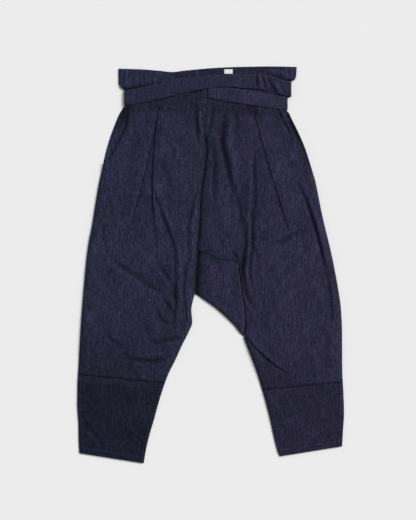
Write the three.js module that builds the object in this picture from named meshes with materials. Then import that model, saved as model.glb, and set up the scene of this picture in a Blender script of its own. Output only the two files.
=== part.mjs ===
// Momohiki trousers in indigo denim, laid flat on their back: straight back panels and cuffs underneath,
// box-pleated front panels and cuffs on top, a folded crotch gusset, slanted side pockets, a paper-bag
// waistband, and a flat waist tie that goes round the waist and crosses over the front.
// Millimetres. +X is to the right as the front is seen, +Y runs up to the waist, +Z is up from the surface
// that it lies on.
import * as THREE from "three";

// ---- Driving dimensions ----
const DENIM = 1.5; // wall of one layer of cloth
const TIE = 2.0; // the tie is a strip of denim folded and stitched
const GAP = 0.3; // air between two pieces at a seam, or where one lies on another
const WAIST_SEAM = 378; // height up the garment where the waistband is sewn to the legs
const HEM_TURN = 15; // depth of the turned-up hem
const HEM_RISE = 0.7; // what the turned-up layer adds to the cuff's height
const PUFF = 1.5; // how far a front panel stands off the back panel away from its edges
const EDGE_ROLL = 22; // width of the roll from a panel's edge to that height
const PLEAT_END = 88; // height up the garment where the box pleats have opened out flat
const PLEAT_RISE = 2.1; // height of a pleat's folded edge over the cloth that it opens on
const PLEAT_TUCK = 9; // depth of the slit under a pleat's folded edge
const TIE_FADE = 15; // how far past the tie's edges the cloth over it comes down again
const TIE_FADE_ALONG = 60; // the same past the tie's ends
const UNDERLAP = 9; // how far a hidden edge runs on under the piece that covers it
const UNDERLAP_FADE = 34; // how far in from an edge the cloth has come down from what lies under it

const BACK_TOP = DENIM;
const FRONT_REST = BACK_TOP + GAP + DENIM; // top of a front panel that lies right on the back
const TIE_STEP = TIE + GAP; // what one more layer of tie lifts the cloth over it

// ---- Tables: the first line names the columns ----
const table = (names, ...rows) =>
  rows.map((row) => Object.fromEntries(names.split(" ").map((name, i) => [name, row[i]])));

const { lerp, clamp, smoothstep } = THREE.MathUtils;

// Reads a column of a table as a function of another, in straight lines between its rows.
function along(rows, key, name) {
  const sorted = [...rows].sort((a, b) => a[key] - b[key]);
  return (at) => {
    const next = clamp(sorted.findIndex((row) => row[key] >= at), 0, sorted.length - 1) || 1;
    const k = at > sorted.at(-1)[key] ? sorted.length - 1 : next;
    const [low, high] = [sorted[k - 1], sorted[k]];
    return lerp(low[name], high[name], clamp((at - low[key]) / (high[key] - low[key]), 0, 1));
  };
}

// Side seam and inner edge of the left leg, from the waist seam to the hem.
const LEFT_SIDE = table("y x",
  [378, -207.6], [361, -218.4], [332, -230.4], [299, -242.4], [265, -252], [232, -259.2],
  [188, -268.8], [145, -276], [92, -284.4], [49, -292.8], [1, -298.8], [-52, -303.6], [-109, -308.4],
  [-181, -313.2], [-244, -316.8], [-287, -319.4], [-335, -320], [-383, -317.2], [-421, -316],
  [-451, -314.5]);
const LEFT_INNER = table("y x",
  [378, -23], [347, -19.2], [311, -14.4], [275, -9.6], [227, -14.4], [198, -19.2], [155, -24], [95, -26.4],
  [35, -31.2], [-25, -34.8], [-68, -38.4], [-85, -43.2], [-109, -46.8], [-138, -44.4], [-162, -54],
  [-193, -69.6], [-232, -86.4], [-263, -102], [-296, -115.2], [-330, -126], [-368, -136.8], [-402, -146.4],
  [-440, -156], [-475.2, -162]);
// The right leg's inner edge follows the left panel, then the gusset's top and side seams, then the inseam.
const RIGHT_INNER = table("y x",
  [378, -22.5], [347, -18.7], [311, -13.9], [275, -9.1], [227, -13.9], [198, -18.7], [155, -23.5],
  [95, -25.9], [33, -30.5], [7, 72], [-61, 79.2], [-145, 86.4], [-172, 81.6], [-196, 88.8], [-229, 100.8],
  [-263, 112.8], [-294, 122.4], [-330, 133.2], [-373, 144], [-416, 153.6], [-448, 162], [-461, 167.5]);
const RIGHT_SIDE = table("y x",
  [378, 182.4], [369, 182.4], [366, 186], [347, 195.6], [318, 210], [282, 225.6], [241, 238.8],
  [198, 250.8], [155, 259.2], [121, 266.4], [83, 276], [49, 284.4], [6, 294], [-32, 301.2], [-66, 307.2],
  [-100, 312], [-157, 315.6], [-253, 316.6], [-306, 318.8], [-359, 320], [-397, 317.6], [-437, 315.4]);

// Slanted pocket mouths: the free edge of the front panel, as far down as it meets the side seam.
const LEFT_POCKET = table("y x",
  [378, -197.5], [361, -196.8], [342, -198], [324, -204.5], [312, -211], [298, -218], [280, -227],
  [267, -234], [253, -242.5], [244, -256.2]);
const RIGHT_POCKET = table("y x",
  [378, 182.4], [369, 181.2], [366, 181.6], [347, 187.4], [318, 200.6], [286, 220.3], [268, 230.1]);

// The two creases of each box pleat, which meet at the waist seam, and the lower edge where they fade out.
const LEFT_PLEAT = table("y outer inner",
  [378, -125, -122.5], [328, -134.4, -129.2], [287, -144, -132.6], [227, -157, -136.8], [179, -169, -138],
  [119, -186.5, -136.8], [88, -195, -136.2], [0, -214, -138], [-284, -240, -172]);
const RIGHT_PLEAT = table("y outer inner",
  [378, 101.4, 98.6], [304, 121.2, 100.8], [222, 144, 106.8], [190, 154, 108], [131, 172, 105.6],
  [83, 184.8, 103.2], [0, 208, 118], [-301, 252, 190]);

// Seams between the legs and the cuffs, and the hems, as heights at the side seam and at the inseam.
const SEAM_AT = table("edge side inner",
  ["left cuff", -264, -284.4], ["left hem", -451, -475.2],
  ["right cuff", -282, -301], ["right hem", -437, -461]);
const seamAt = Object.fromEntries(SEAM_AT.map((row) => [row.edge, row]));

// The main folds of the front, each a soft trough (below zero) or ridge on a curve through three points.
const FOLDS = table("x0 y0 xm ym x1 y1 height width",
  [-33, 388, -33, 350, -28, 300, -1.1, 8],
  [-257, 92, -250, 12, -178, -14, -1.3, 11], [-178, -14, -130, -48, -84, -92, -1.4, 11],
  [-127, 164, -106, 104, -82, 50, -1.3, 9], [-82, 50, -76, 0, -77, -60, -1.1, 9],
  [-34, 155, -48, 107, -50, 55, -1.0, 8], [-197, -210, -150, -232, -100, -220, -1.1, 10],
  [34, 356, 34, 275, 54, 167, -1.5, 9], [46, 382, 50, 322, 60, 240, 0.9, 10],
  [108, 180, 106, 120, 104, 60, -1.2, 8], [66, 100, 90, 48, 74, -4, -1.2, 8],
  [120, 58, 180, 54, 240, 85, -0.9, 12], [223, 188, 254, 102, 288, 6, -1.3, 8],
  [288, 6, 302, -50, 307, -86, -1.0, 8], [90, -178, 132, -224, 190, -262, -1.3, 8]);

// The flat tie, as the heights of its upper and lower edge at stations across the garment.
const TIE_UPPER = table("x upper lower",
  [-120, 441.4, 409.2], [-82, 444.5, 412.6], [-43, 448.3, 415.2], [-12, 451.7, 420.5], [36, 454.8, 424.8],
  [72, 455.5, 422.9], [110, 455.8, 420.5], [134, 453.4, 417.6], [158, 447.6, 410], [178, 440.4, 404.4],
  [193.7, 437, 402.6]);
const TIE_LOWER = table("x upper lower",
  [-22.3, 434.2, 402], [-7, 432, 399.8], [21, 427.7, 393.8], [38, 424.6, 391], [74, 419.6, 385.4],
  [111, 413.6, 379.4], [144, 407.8, 374.6], [178, 400.5, 370.8], [184.8, 399.2, 370.1]);
const TIE_LEFT = table("x upper lower",
  [-207.6, 415.7, 381.4], [-201.6, 416.6, 381.8], [-158, 425.3, 388.3], [-120, 431.5, 396.5],
  [-84, 437.5, 405.6]);
const TIE_BACK = table("x upper lower", [-207.6, 415.7, 381.4], [184.8, 399.2, 370.1]);
const TIE_ANCHOR = table("x upper lower", [148, 436, 402.6], [193.7, 437, 402.6]);

// Side edges and top edges of the waistband.
const WAIST_LEFT = table("y x", [378, -205.3], [417, -205.3], [424, -213.6], [433, -219], [468, -219.6]);
const WAIST_RIGHT = table("y x",
  [378, 182.4], [399.8, 182.4], [402, 191.3], [438, 191.3], [443, 201.6], [452, 205.2], [474, 206.4]);
const BACK_WAIST_TOP = table("x y",
  [-219.6, 468], [-163, 466], [-125, 463], [-91, 459.6], [-67, 463.2], [-29, 468], [10, 471.6], [67, 474],
  [144, 475.2], [206.4, 474]);
const FRONT_WAIST_TOP = table("x y",
  [-219.6, 466.8], [-171, 463], [-137, 459], [-94, 454.4], [-82, 443.6], [-24, 448], [36, 453], [110, 454],
  [130, 461], [149, 465.6], [187, 469.6], [206.4, 471.4]);

// Gathers of the waistband above the tie, as heights at shares of each half's width from left to right.
const GATHERS = {
  left: table("u height",
    [0, 0], [0.07, 1.3], [0.13, 0.2], [0.2, 1.6], [0.27, 0.3], [0.33, 1.1], [0.39, 0], [0.46, 1.4],
    [0.53, 0.2], [0.6, 0.9], [0.7, 0], [0.85, 0], [1, 0]),
  right: table("u height",
    [0, 0], [0.15, 0], [0.3, 0], [0.42, 0], [0.54, 0], [0.6, 0.9], [0.66, 0.1], [0.71, 1.5], [0.76, 0.3],
    [0.81, 1.3], [0.87, 0.2], [0.94, 1.6], [1, 0]),
};

// ---- Shapes ----
// Closes the wall between two nets of points, outer[j][i] and inner[j][i], into one solid.
function wall(outer, inner) {
  const [rows, cols] = [outer.length, outer[0].length];
  const at = (side, j, i) => (side * rows + j) * cols + i;
  const faces = [];
  const quad = (a, b, c, d) => faces.push(a, b, c, a, c, d);
  for (let j = 0; j < rows - 1; j++) {
    for (let i = 0; i < cols - 1; i++) {
      quad(at(0, j, i), at(0, j + 1, i), at(0, j + 1, i + 1), at(0, j, i + 1));
      quad(at(1, j, i), at(1, j, i + 1), at(1, j + 1, i + 1), at(1, j + 1, i));
    }
    quad(at(0, j, 0), at(1, j, 0), at(1, j + 1, 0), at(0, j + 1, 0));
    quad(at(0, j, cols - 1), at(0, j + 1, cols - 1), at(1, j + 1, cols - 1), at(1, j, cols - 1));
  }
  for (let i = 0; i < cols - 1; i++) {
    quad(at(0, 0, i), at(0, 0, i + 1), at(1, 0, i + 1), at(1, 0, i));
    quad(at(0, rows - 1, i), at(1, rows - 1, i), at(1, rows - 1, i + 1), at(0, rows - 1, i + 1));
  }
  const geometry = new THREE.BufferGeometry().setFromPoints([...outer.flat(), ...inner.flat()]);
  return geometry.setIndex(faces);
}

// Evenly spaced numbers from 0 to 1.
const steps = (count) => Array.from({ length: count + 1 }, (_, i) => i / count);

// Height of the fold table's troughs and ridges over a point.
function folds(x, y) {
  return FOLDS.reduce((sum, f) => {
    let [nearest, place] = [Infinity, 0];
    for (const t of steps(8)) {
      const [a, b, c] = [(1 - t) ** 2, 2 * t * (1 - t), t * t];
      const d = Math.hypot(a * f.x0 + b * f.xm + c * f.x1 - x, a * f.y0 + b * f.ym + c * f.y1 - y);
      if (d < nearest) [nearest, place] = [d, t];
    }
    const fade = Math.sqrt(Math.sin(Math.PI * clamp(place, 0.04, 0.96)));
    return sum + f.height * fade * Math.exp(-((nearest / (1.3 * f.width)) ** 2));
  }, 0);
}

// What the tie under the garment lifts the cloth over it, fading fast across the tie and slowly along it.
function overTie(x, y) {
  const lift = (rows) => {
    const [upper, lower] = [along(rows, "x", "upper")(x), along(rows, "x", "lower")(x)];
    const beyond = Math.max(rows[0].x - x, x - rows.at(-1).x) * (TIE_FADE / TIE_FADE_ALONG);
    return TIE_STEP * (1 - smoothstep(Math.max(lower - y, y - upper, beyond, 0), 2, TIE_FADE));
  };
  return Math.max(lift(TIE_BACK), lift(TIE_ANCHOR));
}

// A front panel stands off the back away from its edges, and is smooth at the waist seam.
const puff = (edge, y) =>
  PUFF * smoothstep(edge, 0, EDGE_ROLL) * smoothstep(WAIST_SEAM - y, 2, 50);

const sideOf = {
  left: along(LEFT_SIDE, "y", "x"), right: along(RIGHT_SIDE, "y", "x"),
  leftInner: along(LEFT_INNER, "y", "x"), rightInner: along(RIGHT_INNER, "y", "x"),
  leftPocket: along(LEFT_POCKET, "y", "x"), rightPocket: along(RIGHT_POCKET, "y", "x"),
};

// Heights of a panel's rows at its inner edge: the layers over the tie share the first of them.
const TIE_ROWS = [WAIST_SEAM - GAP, 374, 370, 366, 361, 356, 350];
function rowsDown(breaks, step) {
  const rows = [...TIE_ROWS];
  for (const next of breaks) {
    const from = rows.at(-1);
    const parts = Math.max(1, Math.round((from - next) / step));
    rows.push(...steps(parts).slice(1).map((t) => lerp(from, next, t)));
  }
  return rows;
}
// The same rows as shares of the way from the waist seam down to the panel's lower edge.
const rowShares = (heights) => heights.map((y) => (heights[0] - y) / (heights[0] - heights.at(-1)));

// ---- Front panels ----
// Each leg's own edges: the free edge at the side, the pocket's lower end, and the ridge along the centre.
const LEGS = {
  left: {
    sign: -1, side: sideOf.left, inner: sideOf.leftInner, pocket: sideOf.leftPocket, pocketEnd: 244,
    pocketTop: WAIST_SEAM - GAP, pleat: LEFT_PLEAT, ridge: 2.1, breaks: [35, -68],
  },
  right: {
    sign: 1, side: sideOf.right, inner: sideOf.rightInner, pocket: sideOf.rightPocket, pocketEnd: 268,
    pocketTop: 360, pleat: RIGHT_PLEAT, ridge: 0, breaks: [33, 7, -61, -145, -172],
  },
};
const frontEdge = (leg, y) => (y > leg.pocketEnd ? leg.pocket(y) : leg.side(y));

// What lifts a front panel's edges: the pocket facing under it at the side, and the gusset at the centre.
function lift(leg, x, y) {
  const pocketFade = smoothstep(y, leg.pocketEnd - 30, leg.pocketEnd) *
    smoothstep(leg.pocketTop + 10 - y, 0, 10);
  const facing = leg.sign < 0 ? smoothstep(y, leg.pocketEnd - 30, leg.pocketEnd) : pocketFade;
  const fromEdge = Math.abs(x - frontEdge(leg, y));
  const overFacing = (DENIM + GAP) * facing * (1 - smoothstep(fromEdge, UNDERLAP + 2, UNDERLAP_FADE));
  const centre = leg.ridge * smoothstep(y, -112, -76) * smoothstep(WAIST_SEAM - y, 10, 90) *
    (1 - smoothstep(leg.inner(y) - x, UNDERLAP + 3, UNDERLAP_FADE));
  return Math.max(overFacing, centre);
}

function frontTop(leg, x, y) {
  const edge = Math.min(Math.abs(x - frontEdge(leg, y)), Math.abs(x - leg.inner(y)));
  const soft = smoothstep(WAIST_SEAM - y, 0, 20) * smoothstep(edge, 0, EDGE_ROLL / 2);
  const raised = puff(edge, y) + folds(x, y) * soft;
  return FRONT_REST + overTie(x, y) + Math.max(raised, 0) + lift(leg, x, y);
}

// Height of a pleat's folded edge: pressed flat at the waist seam, full below it, gone where it has opened.
const pleatRise = (y) => lerp(0.06, PLEAT_RISE, smoothstep(y, PLEAT_END - 10, PLEAT_END + 120)) *
  lerp(0.3, 1, smoothstep(WAIST_SEAM - y, 0, 36));

// One section of a front panel at a height: its outer points and its inner points, from side to centre.
function frontSection(leg, ySide, yInner, sewn) {
  const names = ["outer", "inner"];
  const heightAt = (share) => lerp(ySide, yInner, share);
  const [outer, inner] = names.map((name, k) => along(leg.pleat, "y", name)(heightAt(0.4 + 0.2 * k)));
  const stops = [
    { from: frontEdge(leg, ySide), to: outer, shares: [0, 0.08, 0.22, 0.4, 0.6, 0.8, 1] },
    { from: outer, to: inner, shares: [0.25, 0.5, 0.75] },
    { from: inner, to: leg.inner(yInner), shares: [0, 0.16, 0.34, 0.52, 0.7, 0.84, 0.94, 1] },
  ];
  const [sideX, innerX] = [stops[0].from, stops[2].to];
  const yAt = (x) => heightAt(clamp((x - sideX) / (innerX - sideX), 0, 1));
  const rise = pleatRise(heightAt(0.5));
  const tuck = sewn || rise < 0.6 ? -0.2 : PLEAT_TUCK * smoothstep(rise, 0.5, PLEAT_RISE);
  const slit = Math.min(GAP, 0.6 * rise);
  const towards = -leg.sign; // from the side seam to the centre
  const top = [];
  const under = [];
  const put = (x, z, underX) => {
    top.push(new THREE.Vector3(x, yAt(x), z));
    under.push(new THREE.Vector3(underX, yAt(underX), frontTop(leg, underX, yAt(underX)) - DENIM));
  };
  const flat = (x, crease) => {
    const away = crease === undefined ? 1 : smoothstep(Math.abs(x - crease), PLEAT_TUCK + 2, 42);
    put(x, frontTop(leg, x, yAt(x)) + rise * (1 - away), x);
  };
  // The folded edge at a crease: over the edge, down it, back under it, and down onto the cloth below.
  const lip = (crease, facing, order) => {
    const base = frontTop(leg, crease, yAt(crease));
    const points = [
      [0, base + rise], [0.1, base + slit], [0.1 - tuck, base + slit], [0.2 - tuck, base],
    ].map(([out, z], k) => ({ x: crease + facing * out, z, k }));
    for (const p of order < 0 ? points.reverse() : points) {
      const spread = 0.4 * (order < 0 ? 3 - p.k : p.k) - 0.6;
      put(p.x, p.z, crease + towards * spread);
    }
  };
  stops[0].shares.slice(0, -1).forEach((t) => flat(lerp(stops[0].from, stops[0].to, t), outer));
  lip(outer, towards, 1);
  stops[1].shares.forEach((t) => flat(lerp(outer, inner, t)));
  lip(inner, -towards, -1);
  stops[2].shares.slice(1).forEach((t) => flat(lerp(stops[2].from, stops[2].to, t), inner));
  return { top, under };
}

function frontPanel(name) {
  const leg = LEGS[name];
  const seam = seamAt[`${name} cuff`];
  const shares = rowShares(rowsDown([...leg.breaks, seam.inner + GAP], 22));
  const sections = shares.map((t, j) => {
    const [ySide, yInner] = [seam.side, seam.inner].map((end) => lerp(WAIST_SEAM - GAP, end + GAP, t));
    return frontSection(leg, ySide, yInner, j === 0 || j === shares.length - 1);
  });
  const [outer, inner] = [sections.map((s) => s.top), sections.map((s) => s.under)];
  const mirrored = (net) => net.map((row) => row.reverse());
  return leg.sign < 0 ? wall(outer, inner) : wall(mirrored(outer), mirrored(inner));
}

// ---- Panels that lie between two edges ----
// A wall from a left to a right edge and from a top to a bottom line, with its own height and thickness.
function patch({ left, right, top, bottom, rows, cols, height, thick = () => DENIM }) {
  const outer = rows.map((v) => cols.map((u) => {
    const [yLeft, yRight] = [lerp(top(0), bottom(0), v), lerp(top(1), bottom(1), v)];
    const y = lerp(top(u), bottom(u), v);
    const x = lerp(left(yLeft), right(yRight), u);
    return new THREE.Vector3(x, y, height(x, y, u, v));
  }));
  const inner = outer.map((row, j) => row.map((p, i) =>
    new THREE.Vector3(p.x, p.y, p.z - thick(p.x, p.y, cols[i], rows[j]))));
  return wall(outer, inner);
}

const straight = (from, to) => (u) => lerp(from, to, u);
const across = (leg, from, to) => (leg.sign < 0 ? straight(from, to) : straight(to, from));

// A back panel lies flat, and is lifted only where the tie passes under it.
function backPanel(name) {
  const leg = LEGS[name];
  const seam = seamAt[`${name} cuff`];
  const [left, right] = leg.sign < 0 ? [leg.side, leg.inner] : [leg.inner, leg.side];
  return patch({
    left, right,
    top: straight(WAIST_SEAM - GAP, WAIST_SEAM - GAP),
    bottom: across(leg, seam.side + GAP, seam.inner + GAP),
    rows: rowShares(rowsDown([...leg.breaks, seam.inner + GAP], 34)),
    cols: steps(8),
    height: (x, y) => BACK_TOP + overTie(x, y),
  });
}

// A cuff goes on from the leg to the hem, which is turned up once.
function cuff(name, front) {
  const leg = LEGS[name];
  const [seam, hem] = [seamAt[`${name} cuff`], seamAt[`${name} hem`]];
  const [left, right] = leg.sign < 0 ? [leg.side, leg.inner] : [leg.inner, leg.side];
  const hemStart = 1 - HEM_TURN / Math.abs(hem.side - seam.side);
  const height = (x, y, u, v) => {
    if (!front) return BACK_TOP;
    const edge = Math.min(u, 1 - u) * Math.abs(left(y) - right(y));
    const stands = PUFF * smoothstep(edge, 0, EDGE_ROLL) * (1 - 0.6 * smoothstep(v, 0.5, 1));
    return FRONT_REST + stands + HEM_RISE * smoothstep(v, hemStart - 0.02, hemStart);
  };
  return patch({
    left, right, height,
    top: across(leg, seam.side, seam.inner),
    bottom: across(leg, hem.side, hem.inner),
    rows: front ? [0, 0.08, 0.2, 0.35, 0.5, 0.65, 0.8, hemStart - 0.02, hemStart, 1] : steps(6),
    cols: front ? [0, 0.04, 0.12, 0.25, 0.42, 0.58, 0.75, 0.88, 0.96, 1] : steps(4),
  });
}

// The strip that shows inside each pocket mouth, from the side seam to under the front panel's edge.
function pocketFacing(name) {
  const leg = LEGS[name];
  const under = (y) => leg.pocket(y) - leg.sign * UNDERLAP;
  const [left, right] = leg.sign < 0 ? [leg.side, under] : [under, leg.side];
  const end = leg.pocketEnd + 3;
  const overTieRows = TIE_ROWS.filter((y) => y < leg.pocketTop);
  return patch({
    left, right,
    top: straight(leg.pocketTop, leg.pocketTop),
    bottom: straight(end, end),
    rows: rowShares([leg.pocketTop, ...overTieRows, 338, 325, 312, 298, 284, end]),
    cols: steps(3),
    height: (x, y) => FRONT_REST + overTie(x, y),
  });
}

// ---- The gusset: one piece folded along the crotch, half on the front and half on the back ----
const GUSSET_TOP = table("u x y", [0, -31.5, 32.4], [1, 71.5, 6.4]);
const GUSSET_FOLD = table("u x y",
  [0, -38.4, -68.5], [0.2, -16.8, -82.8], [0.42, 12, -103.2], [0.58, 33.6, -122.4], [0.73, 52.8, -141.6],
  [0.88, 69.6, -160.8], [1, 79.5, -171.4]);
function gusset() {
  const point = (rows, u) => ["x", "y"].map((name) => along(rows, "u", name)(u));
  // From the top seam over the front half, round the fold and back over the back half to the centre back.
  const frontHalf = { outer: FRONT_REST, inner: BACK_TOP + GAP, front: true };
  const path = [
    ...[0, 0.2, 0.4, 0.6, 0.8, 0.93].map((v) => ({ ...frontHalf, v })),
    { ...frontHalf, v: 0.985, outer: FRONT_REST - 0.4 },
    { v: 1, outer: FRONT_REST / 2, inner: FRONT_REST / 2, tuck: 0.02 },
    { v: 0.985, outer: 0.3, inner: DENIM },
    ...[0.93, 0.6, 0.3, 0].map((v) => ({ v, outer: 0, inner: DENIM })),
  ];
  const net = (side) => path.map((p) => steps(9).map((u) => {
    const [[topX, topY], [foldX, foldY]] = [point(GUSSET_TOP, u), point(GUSSET_FOLD, u)];
    const v = p.v - (side === "inner" ? p.tuck ?? 0 : 0);
    const y = lerp(topY, foldY, v);
    // The front half runs on under the left leg; the right edge follows the right leg's seam.
    const hidden = p.front ? -UNDERLAP * (1 - smoothstep(v, 0.85, 1)) : 2 * GAP;
    const [leftEnd, rightEnd] = [point(GUSSET_TOP, 1), point(GUSSET_FOLD, 1)];
    const seam = sideOf.rightInner(Math.min(y, 6)) - 2 * GAP - lerp(leftEnd[0], rightEnd[0], v);
    const x = lerp(topX, foldX, v) + hidden * (1 - u) + seam * u ** 3;
    return new THREE.Vector3(x, y, p[side]);
  }));
  return wall(net("outer"), net("inner"));
}

// ---- Waistband ----
const waistSides = { left: along(WAIST_LEFT, "y", "x"), right: along(WAIST_RIGHT, "y", "x") };
const backWaistTop = along(BACK_WAIST_TOP, "x", "y");
const frontWaistTop = along(FRONT_WAIST_TOP, "x", "y");
const CENTRE_FRONT = -12;
// Rows of the waistband: its lower ones are shared by the back and the front, which both lie over the tie.
const WAIST_ROWS = [438, 431, 424, 416, 408, 403, 399.5, 392, 385, WAIST_SEAM];

// A band between two edges, from its gathered top down to the waist seam.
function waistband({ xAt, topAt, cols, height }) {
  const rows = [0, 0.35, 0.7, ...WAIST_ROWS.map((_, i) => i + 1)];
  const outer = rows.map((k) => cols.map((u) => {
    const top = topAt(xAt(u, 470));
    const y = k < 1 ? lerp(top, WAIST_ROWS[0], k) : WAIST_ROWS[k - 1];
    const x = xAt(u, y);
    return new THREE.Vector3(x, y, height(x, y, u));
  }));
  const inner = outer.map((row) => row.map((p) => new THREE.Vector3(p.x, p.y, p.z - DENIM)));
  return wall(outer, inner);
}

const gatherCols = (name) => GATHERS[name].map((row) => row.u);
const leftHalf = (u, y) => lerp(waistSides.left(y), CENTRE_FRONT - GAP, u);
const rightHalf = (u, y) => lerp(CENTRE_FRONT + GAP, waistSides.right(y), u);
const backWaistband = () => waistband({
  xAt: (u, y) => (u <= 1 ? leftHalf(u, y) : rightHalf(u - 1, y)),
  topAt: backWaistTop, cols: [...gatherCols("left"), ...gatherCols("right").slice(1).map((u) => u + 1)],
  height: (x, y) => BACK_TOP + overTie(x, y),
});
// The front halves lie on the back one, and stand up in gathers above the ties.
function tieTop(x) {
  const crossed = [TIE_LEFT, TIE_UPPER].filter((rows) => x >= rows[0].x && x <= rows.at(-1).x);
  return Math.max(TIE_LEFT[0].upper, ...crossed.map((rows) => along(rows, "x", "upper")(x)));
}
function frontWaistband(name) {
  const gather = along(GATHERS[name], "u", "height");
  return waistband({
    xAt: name === "left" ? leftHalf : rightHalf,
    topAt: frontWaistTop, cols: gatherCols(name),
    height: (x, y, u) => FRONT_REST + overTie(x, y) + gather(u) * smoothstep(y - tieTop(x), 1, 24),
  });
}

// ---- Tie ----
// A flat run of the tie. `bottom` gives its underside, and a turned end goes down round the garment's side.
function tie({ rows, bottom, turnLeft = false, turnRight = false, slant = 0 }) {
  const [upper, lower] = [along(rows, "x", "upper"), along(rows, "x", "lower")];
  const [x0, x1] = [rows[0].x, rows.at(-1).x];
  const flat = steps(Math.max(2, Math.round((x1 - x0) / 16))).map((t) => {
    const x = lerp(x0 + (turnLeft ? TIE + 1 : 0), x1 - (turnRight ? TIE + 1 : 0), t);
    return { xOut: x, xIn: x, zOut: bottom(x) + TIE, zIn: bottom(x) };
  });
  const turn = (x, inward) => {
    const z = bottom(x);
    return [
      { xOut: x + 0.5 * inward, xIn: x + TIE * inward, zOut: z + TIE - 0.5, zIn: z - 0.4 },
      { xOut: x, xIn: x + TIE * inward, zOut: z + TIE - 1.6, zIn: z - 1 },
      { xOut: x, xIn: x + TIE * inward, zOut: TIE_STEP, zIn: TIE_STEP },
    ];
  };
  const path = [
    ...(turnLeft ? turn(x0, 1).reverse() : []),
    ...flat,
    ...(turnRight ? turn(x1, -1) : []),
  ];
  const net = (xKey, zKey) => steps(2).map((v) => path.map((p, i) => {
    const y = lerp(upper(p.xOut), lower(p.xOut), v);
    const cut = i === path.length - 1 ? slant * (v - 1) : 0;
    return new THREE.Vector3(p[xKey] + cut, y, p[zKey]);
  }));
  return wall(net("xOut", "zOut"), net("xIn", "zIn"));
}

// Underside of a tie that lies on the front, over the tie at the back and over whatever else is named.
const onFront = (rows, more = () => 0) => (x) => {
  const middle = (along(rows, "x", "upper")(x) + along(rows, "x", "lower")(x)) / 2;
  const half = (along(rows, "x", "upper")(x) - along(rows, "x", "lower")(x)) / 2;
  const under = Math.max(...[-1, -0.5, 0, 0.5, 1].map((s) => overTie(x, middle + s * half)));
  return FRONT_REST + GAP + under + more(x);
};
const underLower = onFront(TIE_LOWER, () => GAP);
const underLeft = onFront(TIE_LEFT, (x) => (TIE_STEP + GAP) * smoothstep(x, -165, -128));
// The upper tie rises over the start of the lower one, where they cross at the centre front.
const onWaist = onFront(TIE_UPPER);
const underUpper = (x) => {
  const crossing = smoothstep(x, -62, -30) * (1 - smoothstep(x, 48, 92));
  return lerp(onWaist(x), Math.max(onWaist(x), underLower(x) + TIE_STEP), crossing);
};

// The loop over the lower tie at the centre front, which comes out from under the upper tie.
function tieLoop() {
  const [x0, x1] = [-22.3, -7.7];
  const top = underLower(-15) + TIE_STEP + DENIM;
  const rows = table("y raised", [418.2, 1], [399, 1], [396.4, 0], [386.2, 0]);
  const raised = along(rows, "y", "raised");
  return patch({
    left: () => x0, right: () => x1,
    top: () => rows[0].y, bottom: () => rows.at(-1).y,
    rows: rowShares(rows.map((row) => row.y)), cols: [0, 1],
    height: (x, y) => lerp(FRONT_REST + overTie(x, y) + GAP + DENIM, top, raised(y)),
  });
}

// The blank label sewn inside the back of the waist, which shows over the lower front edge.
const LABEL = { left: 32.6, right: 55, top: 469.5, bottom: 456.5, thick: 0.8 };
const sizeLabel = () => patch({
  left: () => LABEL.left, right: () => LABEL.right, top: () => LABEL.top, bottom: () => LABEL.bottom,
  rows: [0, 1], cols: steps(2),
  height: () => BACK_TOP + GAP + LABEL.thick, thick: () => LABEL.thick,
});

// ---- Assembly ----
const DENIM_BLUE = new THREE.MeshStandardMaterial({ color: 0x2b2b3d, roughness: 0.92, metalness: 0 });
const LABEL_WHITE = new THREE.MeshStandardMaterial({ color: 0xe8ecdd, roughness: 0.6, metalness: 0 });

const momohiki = new THREE.Group();
const add = (name, geometry, material = DENIM_BLUE) => {
  geometry.computeVertexNormals();
  const mesh = new THREE.Mesh(geometry, material);
  mesh.name = name;
  momohiki.add(mesh);
};

for (const name of ["left", "right"]) {
  add(`back_${name}`, backPanel(name));
  add(`back_cuff_${name}`, cuff(name, false));
  add(`front_${name}`, frontPanel(name));
  add(`front_cuff_${name}`, cuff(name, true));
  add(`pocket_facing_${name}`, pocketFacing(name));
  add(`front_waistband_${name}`, frontWaistband(name));
}
add("gusset", gusset());
add("back_waistband", backWaistband());
add("tie_back", tie({ rows: TIE_BACK, bottom: () => 0 }));
add("tie_anchor", tie({ rows: TIE_ANCHOR, bottom: () => 0 }));
add("tie_lower", tie({ rows: TIE_LOWER, bottom: underLower, turnRight: true }));
add("tie_upper", tie({ rows: TIE_UPPER, bottom: underUpper, turnRight: true }));
add("tie_left", tie({ rows: TIE_LEFT, bottom: underLeft, turnLeft: true, slant: 9 }));
add("tie_loop", tieLoop());
add("size_label", sizeLabel(), LABEL_WHITE);

export default momohiki;
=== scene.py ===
"""Momohiki trousers in indigo denim, laid flat on their back and seen from straight above."""

import bmesh
import bpy
import numpy as np
from mathutils import Matrix, Vector, noise
from mathutils.bvhtree import BVHTree


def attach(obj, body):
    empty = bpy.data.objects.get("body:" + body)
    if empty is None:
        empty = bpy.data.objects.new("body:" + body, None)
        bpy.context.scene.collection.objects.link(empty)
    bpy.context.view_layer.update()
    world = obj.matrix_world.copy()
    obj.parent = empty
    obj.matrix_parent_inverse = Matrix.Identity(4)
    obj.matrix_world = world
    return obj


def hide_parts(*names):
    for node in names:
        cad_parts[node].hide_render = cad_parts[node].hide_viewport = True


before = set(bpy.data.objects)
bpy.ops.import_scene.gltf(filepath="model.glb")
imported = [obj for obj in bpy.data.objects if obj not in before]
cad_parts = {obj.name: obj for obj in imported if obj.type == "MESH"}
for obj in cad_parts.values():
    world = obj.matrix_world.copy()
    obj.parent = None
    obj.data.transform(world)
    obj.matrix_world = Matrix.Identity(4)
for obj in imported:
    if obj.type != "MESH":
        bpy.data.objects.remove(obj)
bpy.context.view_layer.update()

# ---- The view ----
# A camera straight above the middle of the trousers, which takes in 1.25 m of the table from top to bottom.
MM = 0.001
VIEW_CENTRE = (-6.2, 10.8)  # the point of the table that it looks down on
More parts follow.
